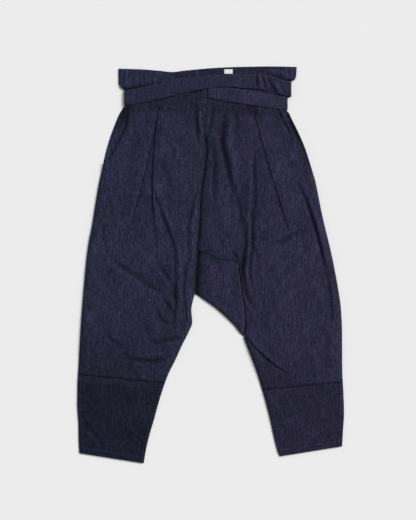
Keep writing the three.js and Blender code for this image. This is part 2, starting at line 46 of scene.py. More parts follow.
CAMERA_HEIGHT = 2427
camera_data = bpy.data.cameras.new("overhead_camera")
camera_data.lens = 70
camera = bpy.data.objects.new("overhead_camera", camera_data)
camera.location = (VIEW_CENTRE[0] * MM, VIEW_CENTRE[1] * MM, CAMERA_HEIGHT * MM)
bpy.context.collection.objects.link(camera)
bpy.context.scene.camera = camera
bpy.context.scene.view_settings.view_transform = "Standard"

# ---- The table ----
# A plain white sweep that the trousers are laid on. It is lit evenly from all round, and by one soft lamp at
# the upper right that gives the folds their shade.
TABLE_WHITE = 0.84
TABLE_REACH = 6  # metres
TABLE_GAP = 0.3  # how far the table lies under the cloth
SKY_STRENGTH = 0.38
LAMP_STRENGTH = 3.06
LAMP_SPREAD = 0.5  # radians
LAMP_PLACE = (0.70, 0.48, 0.70)  # the way from the table to the lamp


def plain_material(name, color, roughness):
    """A matte material and its shader."""
    material = bpy.data.materials.new(name)
    material.use_nodes = True
    shader = material.node_tree.nodes["Principled BSDF"]
    shader.inputs["Base Color"].default_value = (*color, 1)
    shader.inputs["Roughness"].default_value = roughness
    shader.inputs["Specular IOR Level"].default_value = 0.1
    return material, shader


def finished(name, bm, material):
    """The object of a bmesh, smooth and with its material."""
    mesh = bpy.data.meshes.new(name)
    bm.to_mesh(mesh)
    bm.free()
    mesh.materials.append(material)
    mesh.shade_smooth()
    piece = bpy.data.objects.new(name, mesh)
    bpy.context.collection.objects.link(piece)
    return piece


table_bm = bmesh.new()
bmesh.ops.create_grid(table_bm, x_segments=4, y_segments=4, size=TABLE_REACH)
bmesh.ops.translate(table_bm, verts=table_bm.verts, vec=(0, 0, -TABLE_GAP * MM))
table = finished("white_table", table_bm, plain_material("white_table", [TABLE_WHITE] * 3, 0.9)[0])

world = bpy.data.worlds.new("even_light")
bpy.context.scene.world = world
world.use_nodes = True
sky = world.node_tree.nodes["Background"]
sky.inputs["Color"].default_value = (1, 1, 1, 1)
sky.inputs["Strength"].default_value = SKY_STRENGTH
seen_sky = world.node_tree.nodes.new("ShaderNodeBackground")
seen_sky.inputs["Color"].default_value = (TABLE_WHITE,) * 3 + (1,)
ray = world.node_tree.nodes.new("ShaderNodeLightPath")
either = world.node_tree.nodes.new("ShaderNodeMixShader")
world.node_tree.links.new(ray.outputs["Is Camera Ray"], either.inputs[0])
world.node_tree.links.new(sky.outputs[0], either.inputs[1])
world.node_tree.links.new(seen_sky.outputs[0], either.inputs[2])
world.node_tree.links.new(either.outputs[0], world.node_tree.nodes["World Output"].inputs["Surface"])

lamp_data = bpy.data.lights.new("window", "SUN")
lamp_data.energy = LAMP_STRENGTH
lamp_data.angle = LAMP_SPREAD
lamp = bpy.data.objects.new("window", lamp_data)
lamp.rotation_euler = Vector(LAMP_PLACE).to_track_quat("Z", "Y").to_euler()
bpy.context.collection.objects.link(lamp)

# ---- The denim ----
# A slubby indigo twill with a dark warp over a paler weft, rope dyed and hardly washed. Every panel is cut
# from it, so its look is one node group that each material places with its own values.
BLUE_DYE = (0.0182, 0.0207, 0.0442)
PLUM_DYE = (0.0240, 0.0200, 0.0466)
DEEPEST_THREAD = 0.3  # the least share of the dye's own lightness that a dark thread keeps
TWILL_LINE = 1.1  # radians
DENIM_ROUGHNESS = 0.86
DENIM_GRAIN = 0.0006  # metres, the relief of its threads
GRAIN_STRENGTH = 0.2


def add_socket(group, name, kind, value=None, out=False):
    """A named input of a node group with its first value, or an output."""
    made = group.interface.new_socket(name=name, in_out="OUTPUT" if out else "INPUT", socket_type=kind)
    if value is not None:
        made.default_value = value


denim_group = bpy.data.node_groups.new("slubby_denim", "ShaderNodeTree")
add_socket(denim_group, "Dye", "NodeSocketColor", (*BLUE_DYE, 1))
add_socket(denim_group, "Other dye", "NodeSocketColor", (*PLUM_DYE, 1))
add_socket(denim_group, "Slub", "NodeSocketFloat", 1.0)
# the painted shade and highlight of each point, with paler and darker patches, which scale its lightness
add_socket(denim_group, "Painted_shade_and_tone", "NodeSocketFloat", 1.0)
add_socket(denim_group, "Color", "NodeSocketColor", out=True)
add_socket(denim_group, "Height", "NodeSocketFloat", out=True)
add_socket(denim_group, "Roughness", "NodeSocketFloat", out=True)


def node(tree, kind, **values):
    """A node of this kind, with its named inputs set or linked and its other settings set."""
    made = tree.nodes.new(kind)
    for name, value in values.items():
        if name in made.inputs:
            if isinstance(value, bpy.types.NodeSocket):
                tree.links.new(value, made.inputs[name])
            else:
                made.inputs[name].default_value = value
        else:
            setattr(made, name, value)
    return made


def math_node(tree, operation, first, second):
    """The result of a Math node on two numbers or sockets."""
    made = tree.nodes.new("ShaderNodeMath")
    made.operation = operation
    for at, value in enumerate((first, second)):
        if isinstance(value, bpy.types.NodeSocket):
            tree.links.new(value, made.inputs[at])
        else:
            made.inputs[at].default_value = value
    return made.outputs[0]


def streaks(tree, uv, across, along, detail):
    """Noise drawn out along the warp: `across` and `along` are the sizes of its spots in metres."""
    scaled = node(tree, "ShaderNodeMapping", Vector=uv, Scale=(1 / across, 1 / along, 1)).outputs[0]
    made = node(tree, "ShaderNodeTexNoise", Vector=scaled, Scale=1.0, Detail=detail, Roughness=0.55)
    return made.outputs["Fac"]


def swing(tree, threads, depth):
    """How far the noise of these threads is from its middle, times a depth."""
    return math_node(tree, "MULTIPLY", math_node(tree, "SUBTRACT", threads, 0.5), depth)


def fill_denim(tree):
    """The threads, the drifting dye and the twill line of the denim, from its inputs to its outputs."""
    inside = tree.nodes.new("NodeGroupInput")
    outside = tree.nodes.new("NodeGroupOutput")
    cloth = node(tree, "ShaderNodeUVMap", uv_map="Cloth").outputs[0]
    yarn = streaks(tree, cloth, 0.0030, 0.0080, 1.0)
    slub = streaks(tree, cloth, 0.0040, 0.028, 1.0)
    weft = streaks(tree, cloth, 0.014, 0.0032, 1.0)
    patch = streaks(tree, cloth, 0.030, 0.055, 2.0)
    drift = streaks(tree, cloth, 0.075, 0.11, 2.0)
    # the lightness starts from the painted shade and highlight stored at the point
    light = inside.outputs["Painted_shade_and_tone"]
    for threads, depth in ((yarn, 1.9), (slub, 1.6), (weft, 0.8), (patch, 0.42)):
        change = math_node(tree, "MULTIPLY", swing(tree, threads, depth), inside.outputs["Slub"])
        change = math_node(tree, "MAXIMUM", math_node(tree, "ADD", change, 1), DEEPEST_THREAD)
        light = math_node(tree, "MULTIPLY", light, change)
    # The dye leans from blue on one leg to plum on the other, in drifts and from yarn to yarn.
    across = tree.nodes.new("ShaderNodeSeparateXYZ")
    tree.links.new(cloth, across.inputs[0])
    lean = math_node(tree, "ADD", math_node(tree, "MULTIPLY", across.outputs[0], 1.2), 0.5)
    for threads, depth in ((drift, 2.2), (patch, 1.3), (yarn, 1.2)):
        lean = math_node(tree, "ADD", lean, swing(tree, threads, depth))
    dye = node(tree, "ShaderNodeMix", data_type="RGBA")
    tree.links.new(lean, dye.inputs[0])
    tree.links.new(inside.outputs["Dye"], dye.inputs[6])
    tree.links.new(inside.outputs["Other dye"], dye.inputs[7])
    color = node(tree, "ShaderNodeVectorMath", operation="SCALE")
    tree.links.new(dye.outputs[2], color.inputs[0])
    tree.links.new(light, color.inputs["Scale"])
    tree.links.new(color.outputs[0], outside.inputs["Color"])
    # The twill line climbs to the right, a rib each millimetre or so.
    turned = node(tree, "ShaderNodeMapping", Vector=cloth, Rotation=(0, 0, TWILL_LINE)).outputs[0]
    twill = node(tree, "ShaderNodeTexWave", Vector=turned, Scale=300.0, Distortion=1.5, Detail=1.0)
    height = math_node(tree, "ADD", math_node(tree, "MULTIPLY", twill.outputs["Fac"], 0.5), yarn)
    tree.links.new(height, outside.inputs["Height"])
    rough = math_node(tree, "ADD", DENIM_ROUGHNESS, swing(tree, yarn, 0.1))
    tree.links.new(rough, outside.inputs["Roughness"])


fill_denim(denim_group)


def denim(name, slub=1.0):
    """The denim's material. `slub` is how strongly its threads differ."""
    material, shader = plain_material(name, BLUE_DYE, 0.9)
    tree = material.node_tree
    # the painted shade and highlight that each piece stores at its points
    shade_and_tone = node(tree, "ShaderNodeAttribute", attribute_name="Painted_shade_and_tone")
    cloth = node(tree, "ShaderNodeGroup", node_tree=denim_group)
    cloth.inputs["Slub"].default_value = slub
    tree.links.new(shade_and_tone.outputs["Fac"], cloth.inputs["Painted_shade_and_tone"])
    tree.links.new(cloth.outputs["Color"], shader.inputs["Base Color"])
    tree.links.new(cloth.outputs["Roughness"], shader.inputs["Roughness"])
    grain = node(tree, "ShaderNodeBump", Strength=GRAIN_STRENGTH, Distance=DENIM_GRAIN,
                 Height=cloth.outputs["Height"])
    tree.links.new(grain.outputs["Normal"], shader.inputs["Normal"])
    shader.inputs["Specular IOR Level"].default_value = 0.08
    shader.inputs["Sheen Weight"].default_value = 0.03
    shader.inputs["Sheen Roughness"].default_value = 0.6
    shader.inputs["Sheen Tint"].default_value = (0.6, 0.62, 0.8, 1)
    return material


leg_denim = denim("leg_denim")

# ---- The outline of the legs ----
# Side seams, inner edges, cuff seams and hems, as heights and places across in millimetres, from the waist
# down. The right leg's inner edge follows the centre front, the gusset's top and side seams, then the inseam.
LEFT_SIDE = [
    (378, -207.6), (361, -218.4), (332, -230.4), (299, -242.4), (265, -252), (232, -259.2), (188, -268.8),
    (145, -276), (92, -284.4), (49, -292.8), (1, -298.8), (-52, -303.6), (-109, -308.4), (-181, -313.2),
    (-244, -316.4), (-287, -318.8), (-335, -319.4), (-383, -316.6), (-421, -316), (-451, -314.5)]
LEFT_INNER = [
    (378, -23), (347, -19.2), (311, -14.4), (275, -9.6), (227, -14.4), (198, -19.2), (155, -24), (95, -26.4),
    (35, -31.2), (-25, -34.8), (-68, -37.4), (-85, -42), (-109, -46.2), (-138, -44), (-162, -52.6),
    (-193, -68.2), (-232, -86), (-263, -101.4), (-296, -113.6), (-330, -124.3), (-368, -134.6),
    (-402, -144.6), (-440, -154.2), (-475.2, -160.2)]
RIGHT_INNER = [
    (7, 66.5), (-30, 71.4), (-61, 76.2), (-100, 81.4), (-145, 84.8), (-172, 80), (-196, 87.6), (-229, 100),
    (-263, 112.4), (-294, 121.8), (-330, 132.4), (-373, 143.2), (-416, 152.6), (-448, 161), (-461, 166.5)]
RIGHT_SIDE = [
    (378, 182.4), (369, 182.4), (366, 186), (347, 195.6), (318, 210), (282, 225.6), (241, 238.8),
    (198, 251.6), (155, 260.4), (121, 267.2), (83, 276), (49, 284.4), (6, 294), (-32, 301.2), (-66, 307.2),
    (-100, 312), (-157, 315.2), (-253, 315.8), (-306, 318.4), (-359, 320), (-397, 317.6), (-437, 315.4)]
WAIST_SEAM = 378
CUFF_SEAM = {"left": (-264, -284.4), "right": (-282, -301)}  # at the side seam and at the inseam
HEM = {"left": (-452.2, -476.4), "right": (-435.8, -459.8)}  # the same
SEAM_GAP = 0.3  # between pieces
CENTRE_LAP = 4  # how far the right front reaches in under the left one along the centre front


def through(rows):
    """The smooth line through a table of (place, value) rows, which never swings past them."""
    at, value = np.array(sorted(rows), float).T
    rise = np.diff(value) / np.diff(at)
    slope = np.concatenate([[rise[0]], np.zeros(len(rise) - 1), [rise[-1]]])
    same = rise[1:] * rise[:-1] > 0
    slope[1:-1][same] = 2 * (rise[1:] * rise[:-1])[same] / (rise[1:] + rise[:-1])[same]

    def line(place):
        place = np.clip(place, at[0], at[-1])
        k = np.clip(np.searchsorted(at, place) - 1, 0, len(at) - 2)
        span = at[k + 1] - at[k]
        s = (place - at[k]) / span
        start = (1 + 2 * s) * (1 - s) ** 2 * value[k] + s * (1 - s) ** 2 * span * slope[k]
        return start + s * s * (3 - 2 * s) * value[k + 1] + s * s * (s - 1) * span * slope[k + 1]

    return line


def soft_step(value, low, high):
    """From 0 at `low` to 1 at `high`, easing in and out."""
    s = np.clip((value - low) / (high - low), 0, 1)
    return s * s * (3 - 2 * s)


left_side, left_inner = through(LEFT_SIDE), through(LEFT_INNER)
right_side, right_inseam = through(RIGHT_SIDE), through(RIGHT_INNER)
# The gusset's top seam, as places across and heights, from the centre front to the gusset's corner.
GUSSET_SEAM = [(-30.5, 33), (-17, 29.5), (-3, 25), (6, 20.5), (14, 16), (27, 12.5), (44, 9.5), (66.5, 7)]
SEAM_START, SEAM_CORNER = GUSSET_SEAM[0][1], GUSSET_SEAM[-1][1]
top_seam, along_top_seam = through([(y, x) for x, y in GUSSET_SEAM]), through(GUSSET_SEAM)


def right_inner(y):
    """The centre front, then along the gusset's top seam, then the gusset's side seam and the inseam."""
    above = np.where(y > SEAM_START, left_inner(y) - CENTRE_LAP, top_seam(y))
    return np.where(y > SEAM_CORNER, above, right_inseam(y))


# The same edge as a run of points from the waist down, and how far along it each lies.
right_edge = np.array([(left_inner(v) - CENTRE_LAP, v) for v in np.linspace(400, 34, 90)]
                      + [(v, along_top_seam(v)) for v in np.linspace(-30, 66.5, 90)]
                      + [(right_inseam(v), v) for v in np.linspace(6, -310, 120)])
edge_run = np.concatenate([[0], np.cumsum(np.hypot(*np.diff(right_edge, axis=0).T))])


def from_right_inner(x, y):
    """The distance to the right leg's inner edge, round the gusset's corner too."""
    nearest = [np.min(np.hypot(right_edge[:, 0] - a, right_edge[:, 1] - b)) for a, b in zip(x, y)]
    return np.minimum(nearest, np.abs(x - right_inner(y)))


def inner_ends(leg, top, bottom, down):
    """Where the rows of a front end at its inner edge, evenly along it."""
    if leg == "left":
        y = top + (bottom - top) * down
        return left_inner(y), y
    start, end = np.interp([-top, -bottom], -right_edge[:, 1], edge_run)
    at = start + (end - start) * down
    return np.interp(at, edge_run, right_edge[:, 0]), np.interp(at, edge_run, right_edge[:, 1])


SIDE = {"left": left_side, "right": right_side}
INNER = {"left": left_inner, "right": right_inner}

# ---- The backs: each leg's back panel and back cuff ----
# Plain pieces of the same denim that lie flat on the table and meet at the knee. The tie that runs round the
# waist passes under them and lifts them a little.
CLOTH = 1.0  # thickness of one layer
TIE_THICK = 1.8
TIE_BACK = [(-207.6, 415.7, 381.4), (184.8, 399.2, 370.1)]  # place across, upper edge, lower edge
TIE_ANCHOR = [(148, 436, 402.6), (193.7, 437, 402.6)]
TIE_STEP = 2.3  # how far the tie lifts what crosses it


def over_tie(x, y):
    """How much the tie under the waist lifts the cloth that crosses it."""
    lift = 0
    for rows in (TIE_BACK, TIE_ANCHOR):
        (x0, upper0, lower0), (x1, upper1, lower1) = rows
        upper, lower = np.interp(x, [x0, x1], [upper0, upper1]), np.interp(x, [x0, x1], [lower0, lower1])
        beyond = np.maximum(x0 - x, x - x1) / 4
        past = np.maximum(np.maximum(lower - y, y - upper), np.maximum(beyond, 0))
        lift = np.maximum(lift, TIE_STEP * (1 - soft_step(past, 2, 15)))
    return lift


def unevenness(a, b, seed):
    """Broad, middling and small waves of handled cloth at one point, longer down the leg than across."""
    broad = noise.noise(Vector((a / 40 + seed, b / 75, seed)))
    middling = noise.noise(Vector((a / 15, b / 26 + seed, 3.1)))
    small = noise.noise(Vector((a / 6, b / 10, seed + 7)))
    return broad + 0.6 * middling + 0.24 * small


def rumple(x, y, size, seed=0.0):
    """The soft unevenness over some points, in millimetres for a wave of this size."""
    values = [unevenness(a, b, seed) for a, b in zip(np.ravel(x), np.ravel(y))]
    return size * np.array(values).reshape(np.shape(x))


def puckers(along, from_seam, size, seed=0.0):
    """The small uneven ridges that a seam draws into the cloth beside it."""
    waves = np.sin(along / 1.55 + 1.7 * np.sin(along / 7.3 + seed) + seed)
    swell = 0.6 + 0.4 * np.sin(along / 11.7 + seed)
    return size * waves * swell * np.exp(-((from_seam - 3) / 5) ** 2)


def fold_field(x, y, folds):
    """The troughs and ridges of a table of folds over some points."""
    total = np.zeros(np.shape(x))
    for points, height, width, ridge in folds:
        # the fold's line as a run of places, and the points of the cloth that it can reach
        points = np.array(points, float)
        rows = np.linspace(0, 1, len(points))
        share = np.linspace(0, 1, 8 * len(points))
        line_x, line_y = (through(list(zip(rows, points[:, k])))(share) for k in (0, 1))
        along_x, along_y = np.gradient(line_x), np.gradient(line_y)
        reach = 4 * width
        near = np.flatnonzero((x > line_x.min() - reach) & (x < line_x.max() + reach)
                              & (y > line_y.min() - reach) & (y < line_y.max() + reach))
        if not len(near):
            continue
        # how far each point is beside the nearest place of the line, or beyond its ends
        from_x, from_y = x[near, None] - line_x, y[near, None] - line_y
        k = np.argmin(from_x * from_x + from_y * from_y, 1)
        row = np.arange(len(near))
        from_x, from_y = from_x[row, k], from_y[row, k]
        length = np.hypot(along_x[k], along_y[k])
        aside = (along_x[k] * from_y - along_y[k] * from_x) / length
        beyond = (from_x * along_x[k] + from_y * along_y[k]) / length
        beyond = np.where((k == 0) | (k == len(share) - 1), beyond, 0)
        # it fades out at its ends, and the cloth swells the other way beside it
        fade = np.sqrt(np.sin(np.pi * np.clip(share[k], 0.03, 0.97)))
        fade = fade * np.exp(-((beyond / (1.5 * width)) ** 2))
        over = (aside - np.sign(ridge) * 1.9 * width) / (1.3 * width)
        profile = np.exp(-((aside / width) ** 2)) - abs(ridge) * np.exp(-(over ** 2))
        total[near] += height * fade * profile
    return total


def cloth_piece(name, cols, rows, place, material, nodes, thick=CLOTH):
    """A piece of cloth on a grid. `place` lays out its points from their shares across and down, in
    millimetres, and may give a fourth value: how much lighter (over 1) or darker (below 1) its colour is
    painted, mostly painted shade and highlight along its folds, creases and seams."""
    bm = bmesh.new()
    bmesh.ops.create_grid(bm, x_segments=cols, y_segments=rows, size=0.5)
    bm.verts.index_update()
    share = np.array([v.co[:2] for v in bm.verts]) + 0.5
    across, down = share[:, 0], 1 - share[:, 1]
    placed = place(across, down)
    points = np.stack(placed[:3], 1) * MM
    cloth_uv = bm.loops.layers.uv.new("Cloth")
    for vertex, point in zip(bm.verts, points):
        vertex.co = point
    for face in bm.faces:
        for corner in face.loops:
            corner[cloth_uv].uv = points[corner.vert.index, :2]
    piece = finished(name, bm, material)
    # each point's painted shade and highlight, which the denim reads
    fade = piece.data.attributes.new("Painted_shade_and_tone", "FLOAT", "POINT")
    values = placed[3] if len(placed) > 3 else np.ones(len(points))
    fade.data.foreach_set("value", values.astype(np.float32))
    wall = piece.modifiers.new("wall", "SOLIDIFY")
    wall.thickness = thick * MM
    wall.offset = -1
    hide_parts(*nodes)
    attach(piece, "root")
    return piece


def leg_shares(leg, across, down, top, bottom):
    """Points of a leg's panel between its side and inner edges. `top` and `bottom` are heights at the side
    seam and at the inseam."""
    to_inner = across if leg == "left" else 1 - across
    y_side, y_inner = (top[k] + (bottom[k] - top[k]) * down for k in (0, 1))
    y = y_side + (y_inner - y_side) * to_inner
    x_side, x_inner = SIDE[leg](y_side), INNER[leg](y_inner)
    return x_side + (x_inner - x_side) * to_inner, y


# Folds of the backs that lift a little off the table: points, height, width, dip beside it.
BACK_FOLDS = [
    ([(-236, 150), (-190, 90), (-120, 30), (-78, -10)], 1.5, 8, 0.2),
    ([(-150, 200), (-112, 110), (-80, 30)], 1.2, 7, 0.2),
    ([(-262, -60), (-190, -110), (-112, -130)], 1.4, 7, 0.2),
    ([(-210, -190), (-150, -214), (-108, -212)], 1.2, 8, 0.2),
    ([(-60, 330), (-52, 240), (-44, 150)], 1.2, 8, 0.2),
    ([(66, 330), (48, 240), (36, 160)], 1.2, 8, 0.2),
    ([(226, 168), (176, 96), (110, 40), (92, -20)], 1.5, 8, 0.2),
    ([(150, 210), (118, 120), (98, 40)], 1.2, 7, 0.2),
    ([(268, -40), (200, -116), (128, -150)], 1.4, 7, 0.2),
    ([(250, -210), (190, -244), (140, -252)], 1.2, 8, 0.2)]


def back_height(leg, x, y, seed):
    """Height of a back's top surface: flat on the table at its edges, with low folds between them."""
    inside = soft_step(np.minimum(np.abs(x - SIDE[leg](y)), np.abs(x - INNER[leg](y))), 4, 24)
    lifted = rumple(x, y, 0.5, seed) + fold_field(x, y, BACK_FOLDS) * inside
    return CLOTH + 0.1 + over_tie(x, y) + np.maximum(lifted, 0)


def eased(share, crowd=0.35):
    """Shares that crowd a little towards both edges, where cloth rolls over."""
    return share - crowd * np.sin(2 * np.pi * share) / (2 * np.pi)


def back_panel(leg, seed):
    top = (WAIST_SEAM - SEAM_GAP,) * 2
    bottom = tuple(y + SEAM_GAP for y in CUFF_SEAM[leg])

    def place(across, down):
        x, y = leg_shares(leg, eased(across), down, top, bottom)
        return x, y, back_height(leg, x, y, seed)

    return cloth_piece(f"back_panel_{leg}", 60, 150, place, leg_denim, [f"back_{leg}"])


def back_cuff(leg, seed):
    def place(across, down):
        x, y = leg_shares(leg, eased(across), down, CUFF_SEAM[leg], HEM[leg])
        return x, y, back_height(leg, x, y, seed)

    return cloth_piece(f"back_cuff_panel_{leg}", 40, 50, place, leg_denim, [f"back_cuff_{leg}"])


for leg, seed, cut, area in (("left", 1.7, (0.22, 0.22), 0.035), ("right", 5.2, (0.22, 0.19), 0.029)):
    back_panel(leg, seed)
    back_cuff(leg, seed + 2)

# ---- The fronts: one panel a leg, from the waist seam to the knee ----
# Each has an inverted box pleat, pressed from the waist to mid thigh, and a slanted pocket mouth at the hip.
# Soft folds run out from the crotch, and the cloth stands a little off the back away from the seams.
BODY = 9.0  # height of the front's top surface away from its edges
WAIST_BODY = 3.3  # the same where it is sewn to the waistband
CUFF_BODY = 5.6  # the same at the top of a cuff
EDGE_FOOT = 1.7  # height at which a rolled edge ends, just over the back
FRONT_UNDER = CLOTH + 1.6  # the lowest that a front's top surface sinks
FRONT_CLOTH = 0.9  # thickness of one layer on the front
LEFT_POCKET = [
    (378, -197.5), (361, -196.8), (342, -198), (324, -204.5), (312, -211), (298, -218), (280, -227),
    (267, -234), (253, -242.5), (244, -256.2)]
RIGHT_POCKET = [
    (378, 182.4), (369, 181.2), (366, 181.6), (347, 187.4), (318, 200.6), (286, 220.3), (268, 230.1)]
POCKET_END = {"left": 244, "right": 268}
pocket_edge = {"left": through(LEFT_POCKET), "right": through(RIGHT_POCKET)}
PLEATS = {  # height, crease towards the side seam, crease towards the centre
    "left": [(378, -125, -122.5), (328, -134.4, -129.2), (287, -144, -132.6), (227, -157, -136.8),
             (179, -169, -138), (119, -186, -134), (88, -194, -131), (40, -206, -129), (-284, -240, -172)],
    "right": [(378, 101.4, 98.6), (304, 121.2, 100.8), (222, 144, 106.8), (190, 154, 108), (131, 172, 105.6),
              (83, 184.8, 103.2), (0, 208, 118), (-301, 252, 190)]}
UNDER_SHADE = {"left": 0.5, "right": 0.25}  # painted shade on the cloth beside a crease, under its folded edge
# About where each crease fades out: the slanted one stops short, the straight one runs into a soft fold.
CREASE_END = (84, 40)
LIP = 3.4  # height of a pleat's folded edge over the cloth that it opens on
TUCK = 11  # how far the cloth goes back under that edge
# A folded edge seen end on, over its edge, back under it and out again: offsets as shares of TUCK and heights
# as shares of LIP.
LIP_SECTION = [
    (-0.07, 1.0), (-0.02, 0.97), (0.01, 0.9), (0.03, 0.8), (0.02, 0.68), (-0.02, 0.58), (-0.1, 0.53),
    (-0.5, 0.5), (-0.96, 0.47), (-1.0, 0.33), (-0.96, 0.2), (-0.5, 0.1), (-0.08, 0.03), (0.0, 0.0)]

FOLDS = [  # points, height (below zero is a trough), width, ridge beside it (over zero: to the right)
    # left thigh, crotch and knee
    ([(-133.5, 170.5), (-124.5, 140.5), (-109.5, 98.5), (-97.5, 66.5), (-88.5, 40.5), (-85.5, 6.5)],
     -4.8, 5, 0.35),
    ([(-130, 12), (-117, -13), (-99, -38), (-87, -68), (-82, -95)], -3.6, 5, -0.3),
    ([(-87, 32), (-85, -2), (-85, -62), (-87, -112), (-89, -152)], -4.2, 4.5, 0.3),
    ([(-260, 103), (-256, 59), (-247, 21)], -3.4, 4, 0.0),
    ([(-249.5, 30), (-233.5, 8), (-209.5, -9), (-174.5, -31), (-144.5, -55), (-120.5, -67), (-102.5, -77)],
     -4.0, 6, -0.4),
    ([(-120, -75), (-98, -104), (-91, -121)], -3.8, 4, 0.3),
    ([(-133, -101), (-118, -132), (-99, -146)], -3.8, 4, 0.3),
    ([(-72, -175), (-88, -178), (-110, -183), (-146, -194)], -4.6, 5, 0.4),
    ([(-60, -106), (-61, -131), (-74, -144)], -3.6, 4, 0.3),
    ([(-56, 18), (-62, -22), (-66, -62), (-62, -112)], -3.4, 5, 0.3),
    ([(-211, -218), (-177, -230), (-141, -232), (-103, -221)], -4.8, 6, 0.4),
    ([(-254, -157), (-240, -180), (-210, -202), (-194, -216)], -2.8, 5, 0.4),
    ([(-154, -142), (-159, -154), (-150, -166)], -2.6, 5, 0.0),
    ([(-109, 266), (-113, 238), (-103, 203), (-97, 158)], -2.6, 6, 0.0),
    ([(-182, 336), (-193, 256), (-207, 176)], -1.2, 10, 0.2),
    ([(-311, -363), (-296, -387), (-268, -423)], -3.0, 5, 0.4),
    # centre front, left of the seam
    ([(-33, 408), (-35, 348), (-31, 288)], -4.8, 5, 0.25),
    ([(-26, 373), (-22, 339), (-17, 299)], 1.6, 3.5, 0.0),
    ([(-29, 196), (-38, 165), (-49, 120), (-55, 88), (-54, 48), (-52, 13)], -4.0, 4.5, 0.4),
    # centre front, right of the seam
    ([(-1, 377), (-6, 349), (-10, 324)], 2.0, 3, 0.0),
    ([(6, 385), (3, 359), (-5, 321)], -4.6, 3.5, 0.0),
    ([(7, 280), (8, 213), (7, 128)], -5.2, 6, 0.0),
    ([(26, 345), (25, 309), (22, 285)], -2.8, 7, 0.0),
    ([(33, 354), (31, 320), (28, 290), (36, 254), (42, 224), (48, 188), (52, 152)], -7.0, 6.5, 0.4),
    ([(46, 383), (47, 334), (49, 295)], 2.4, 4, 0.0),
    ([(60, 381), (58, 363), (60, 327), (58, 277)], -3.4, 9, 0.0),
    ([(60, 188), (66, 153), (71, 113), (73, 82)], -3.6, 5, 0.0),
    ([(40, 127), (32, 107), (34, 87)], 1.6, 9, 0.0),
    ([(21, 68), (28, 50), (36, 34)], -4.4, 3.5, 0.3),
    ([(49, 36), (59, 20), (68, 6)], -4.0, 4, 0.3),
    # the valley that runs down past the gusset's corner, and the ridge and trough to its right
    ([(82, 92), (83, 50), (77, 14), (74, -10), (74, -37), (79, -60), (88, -82), (102, -102)], -6.4, 5.5, 0.0),
    ([(90, 70), (89, 23), (87, -1), (87, -29), (96, -59)], 2.6, 4, 0.0),
    ([(97, 83), (96, 47), (93, 16), (92, -8), (95, -38), (101, -63)], -3.4, 3.5, 0.3),
    # the soft fold that the right pleat's straight crease runs into
    ([(100, 260), (103, 208), (103, 166), (99, 128), (98, 96)], -4.0, 5, -0.4),
    ([(100, 128), (99, 96), (100, 62), (100, 40), (96, 8)], -4.0, 4.5, -0.4),
    # right hip, side and knee
    ([(159, 375), (165, 361), (172, 348)], -7.0, 3, 0.3),
    ([(169, 349), (181, 329), (197, 299)], -2.4, 3, 0.5),
    ([(107, 60), (135, 58)], -2.4, 6, 0.0),
    ([(146, 48), (172, 55), (192, 69), (234, 82)], -4.4, 5, 0.5),
    ([(209, 192), (223, 165), (236, 133), (248, 94), (260, 49), (268, 16), (276, -15)], -5.8, 3.6, 0.5),
    ([(273, -11), (281, -43), (286, -81), (288, -119), (285, -151)], -2.8, 4, 0.4),
    ([(278, -153), (275, -203), (277, -253)], -2.0, 7, 0.3),
    ([(87, -179), (109, -204), (133, -226), (157, -246), (184, -261)], -4.0, 3.2, 0.5),
    ([(257, -208), (264, -234), (260, -264)], -1.6, 6, 0.0),
]

TONE_PATCHES = [  # place across and height, reach across and along, how much paler (over 0) or deeper
    # left leg, from the waist down
    (-120, 335, 60, 40, -0.06), (-212, 205, 30, 44, 0.07), (-233, 50, 20, 25, 0.1),
    (-104, 30, 24, 62, -0.07), (-135, 28, 14, 16, 0.1), (-290, -15, 32, 60, 0.12), (-185, -26, 44, 18, -0.05),
    (-106, -30, 22, 36, -0.07), (-95, -128, 34, 44, -0.21), (-110, -176, 36, 15, -0.11),
    (-112, -208, 50, 28, -0.1), (-160, -224, 50, 14, -0.06),
    # right leg, from the waist down
    (20, 320, 22, 48, -0.14), (225, 250, 14, 50, -0.08), (160, 190, 26, 56, 0.07), (38, 100, 12, 40, 0.08),
    (200, 20, 40, 40, 0.04), (76.5, -20, 6.5, 34, -0.3), (64, -40, 18, 62, -0.2), (122, -112, 36, 44, -0.1),
    (284, -200, 13, 70, -0.12), (150, -284, 70, 20, -0.13)]
PAINTED_RELIEF_SHADE = 0.085  # painted highlight on ridges and shade in troughs, per millimetre that the cloth stands up


def relief_shade(relief):
    """Painted shade and highlight: lighter along ridges and darker down in troughs."""
    return np.clip(1 + PAINTED_RELIEF_SHADE * relief, 0.4, 1.25)


def patch_tone(x, y):
    """Paler and darker patches painted over the whole garment."""
    tone = 1
    for place, height, across, along, amount in TONE_PATCHES:
        tone = tone + amount * np.exp(-(((x - place) / across) ** 2) - ((y - height) / along) ** 2)
    return tone


def line_tone(distance, width, amount):
    """Paler (over 0) or deeper within a narrow line."""
    return 1 + amount * np.exp(-((distance / width) ** 2))


def rolled_edge(distance, width):
    """How far a surface has risen, of 1, this far in from an edge that it rolls over."""
    inward = np.clip(distance / width, 0, 1)
    return np.sqrt(np.clip(1 - (1 - inward) ** 2, 0, 1))


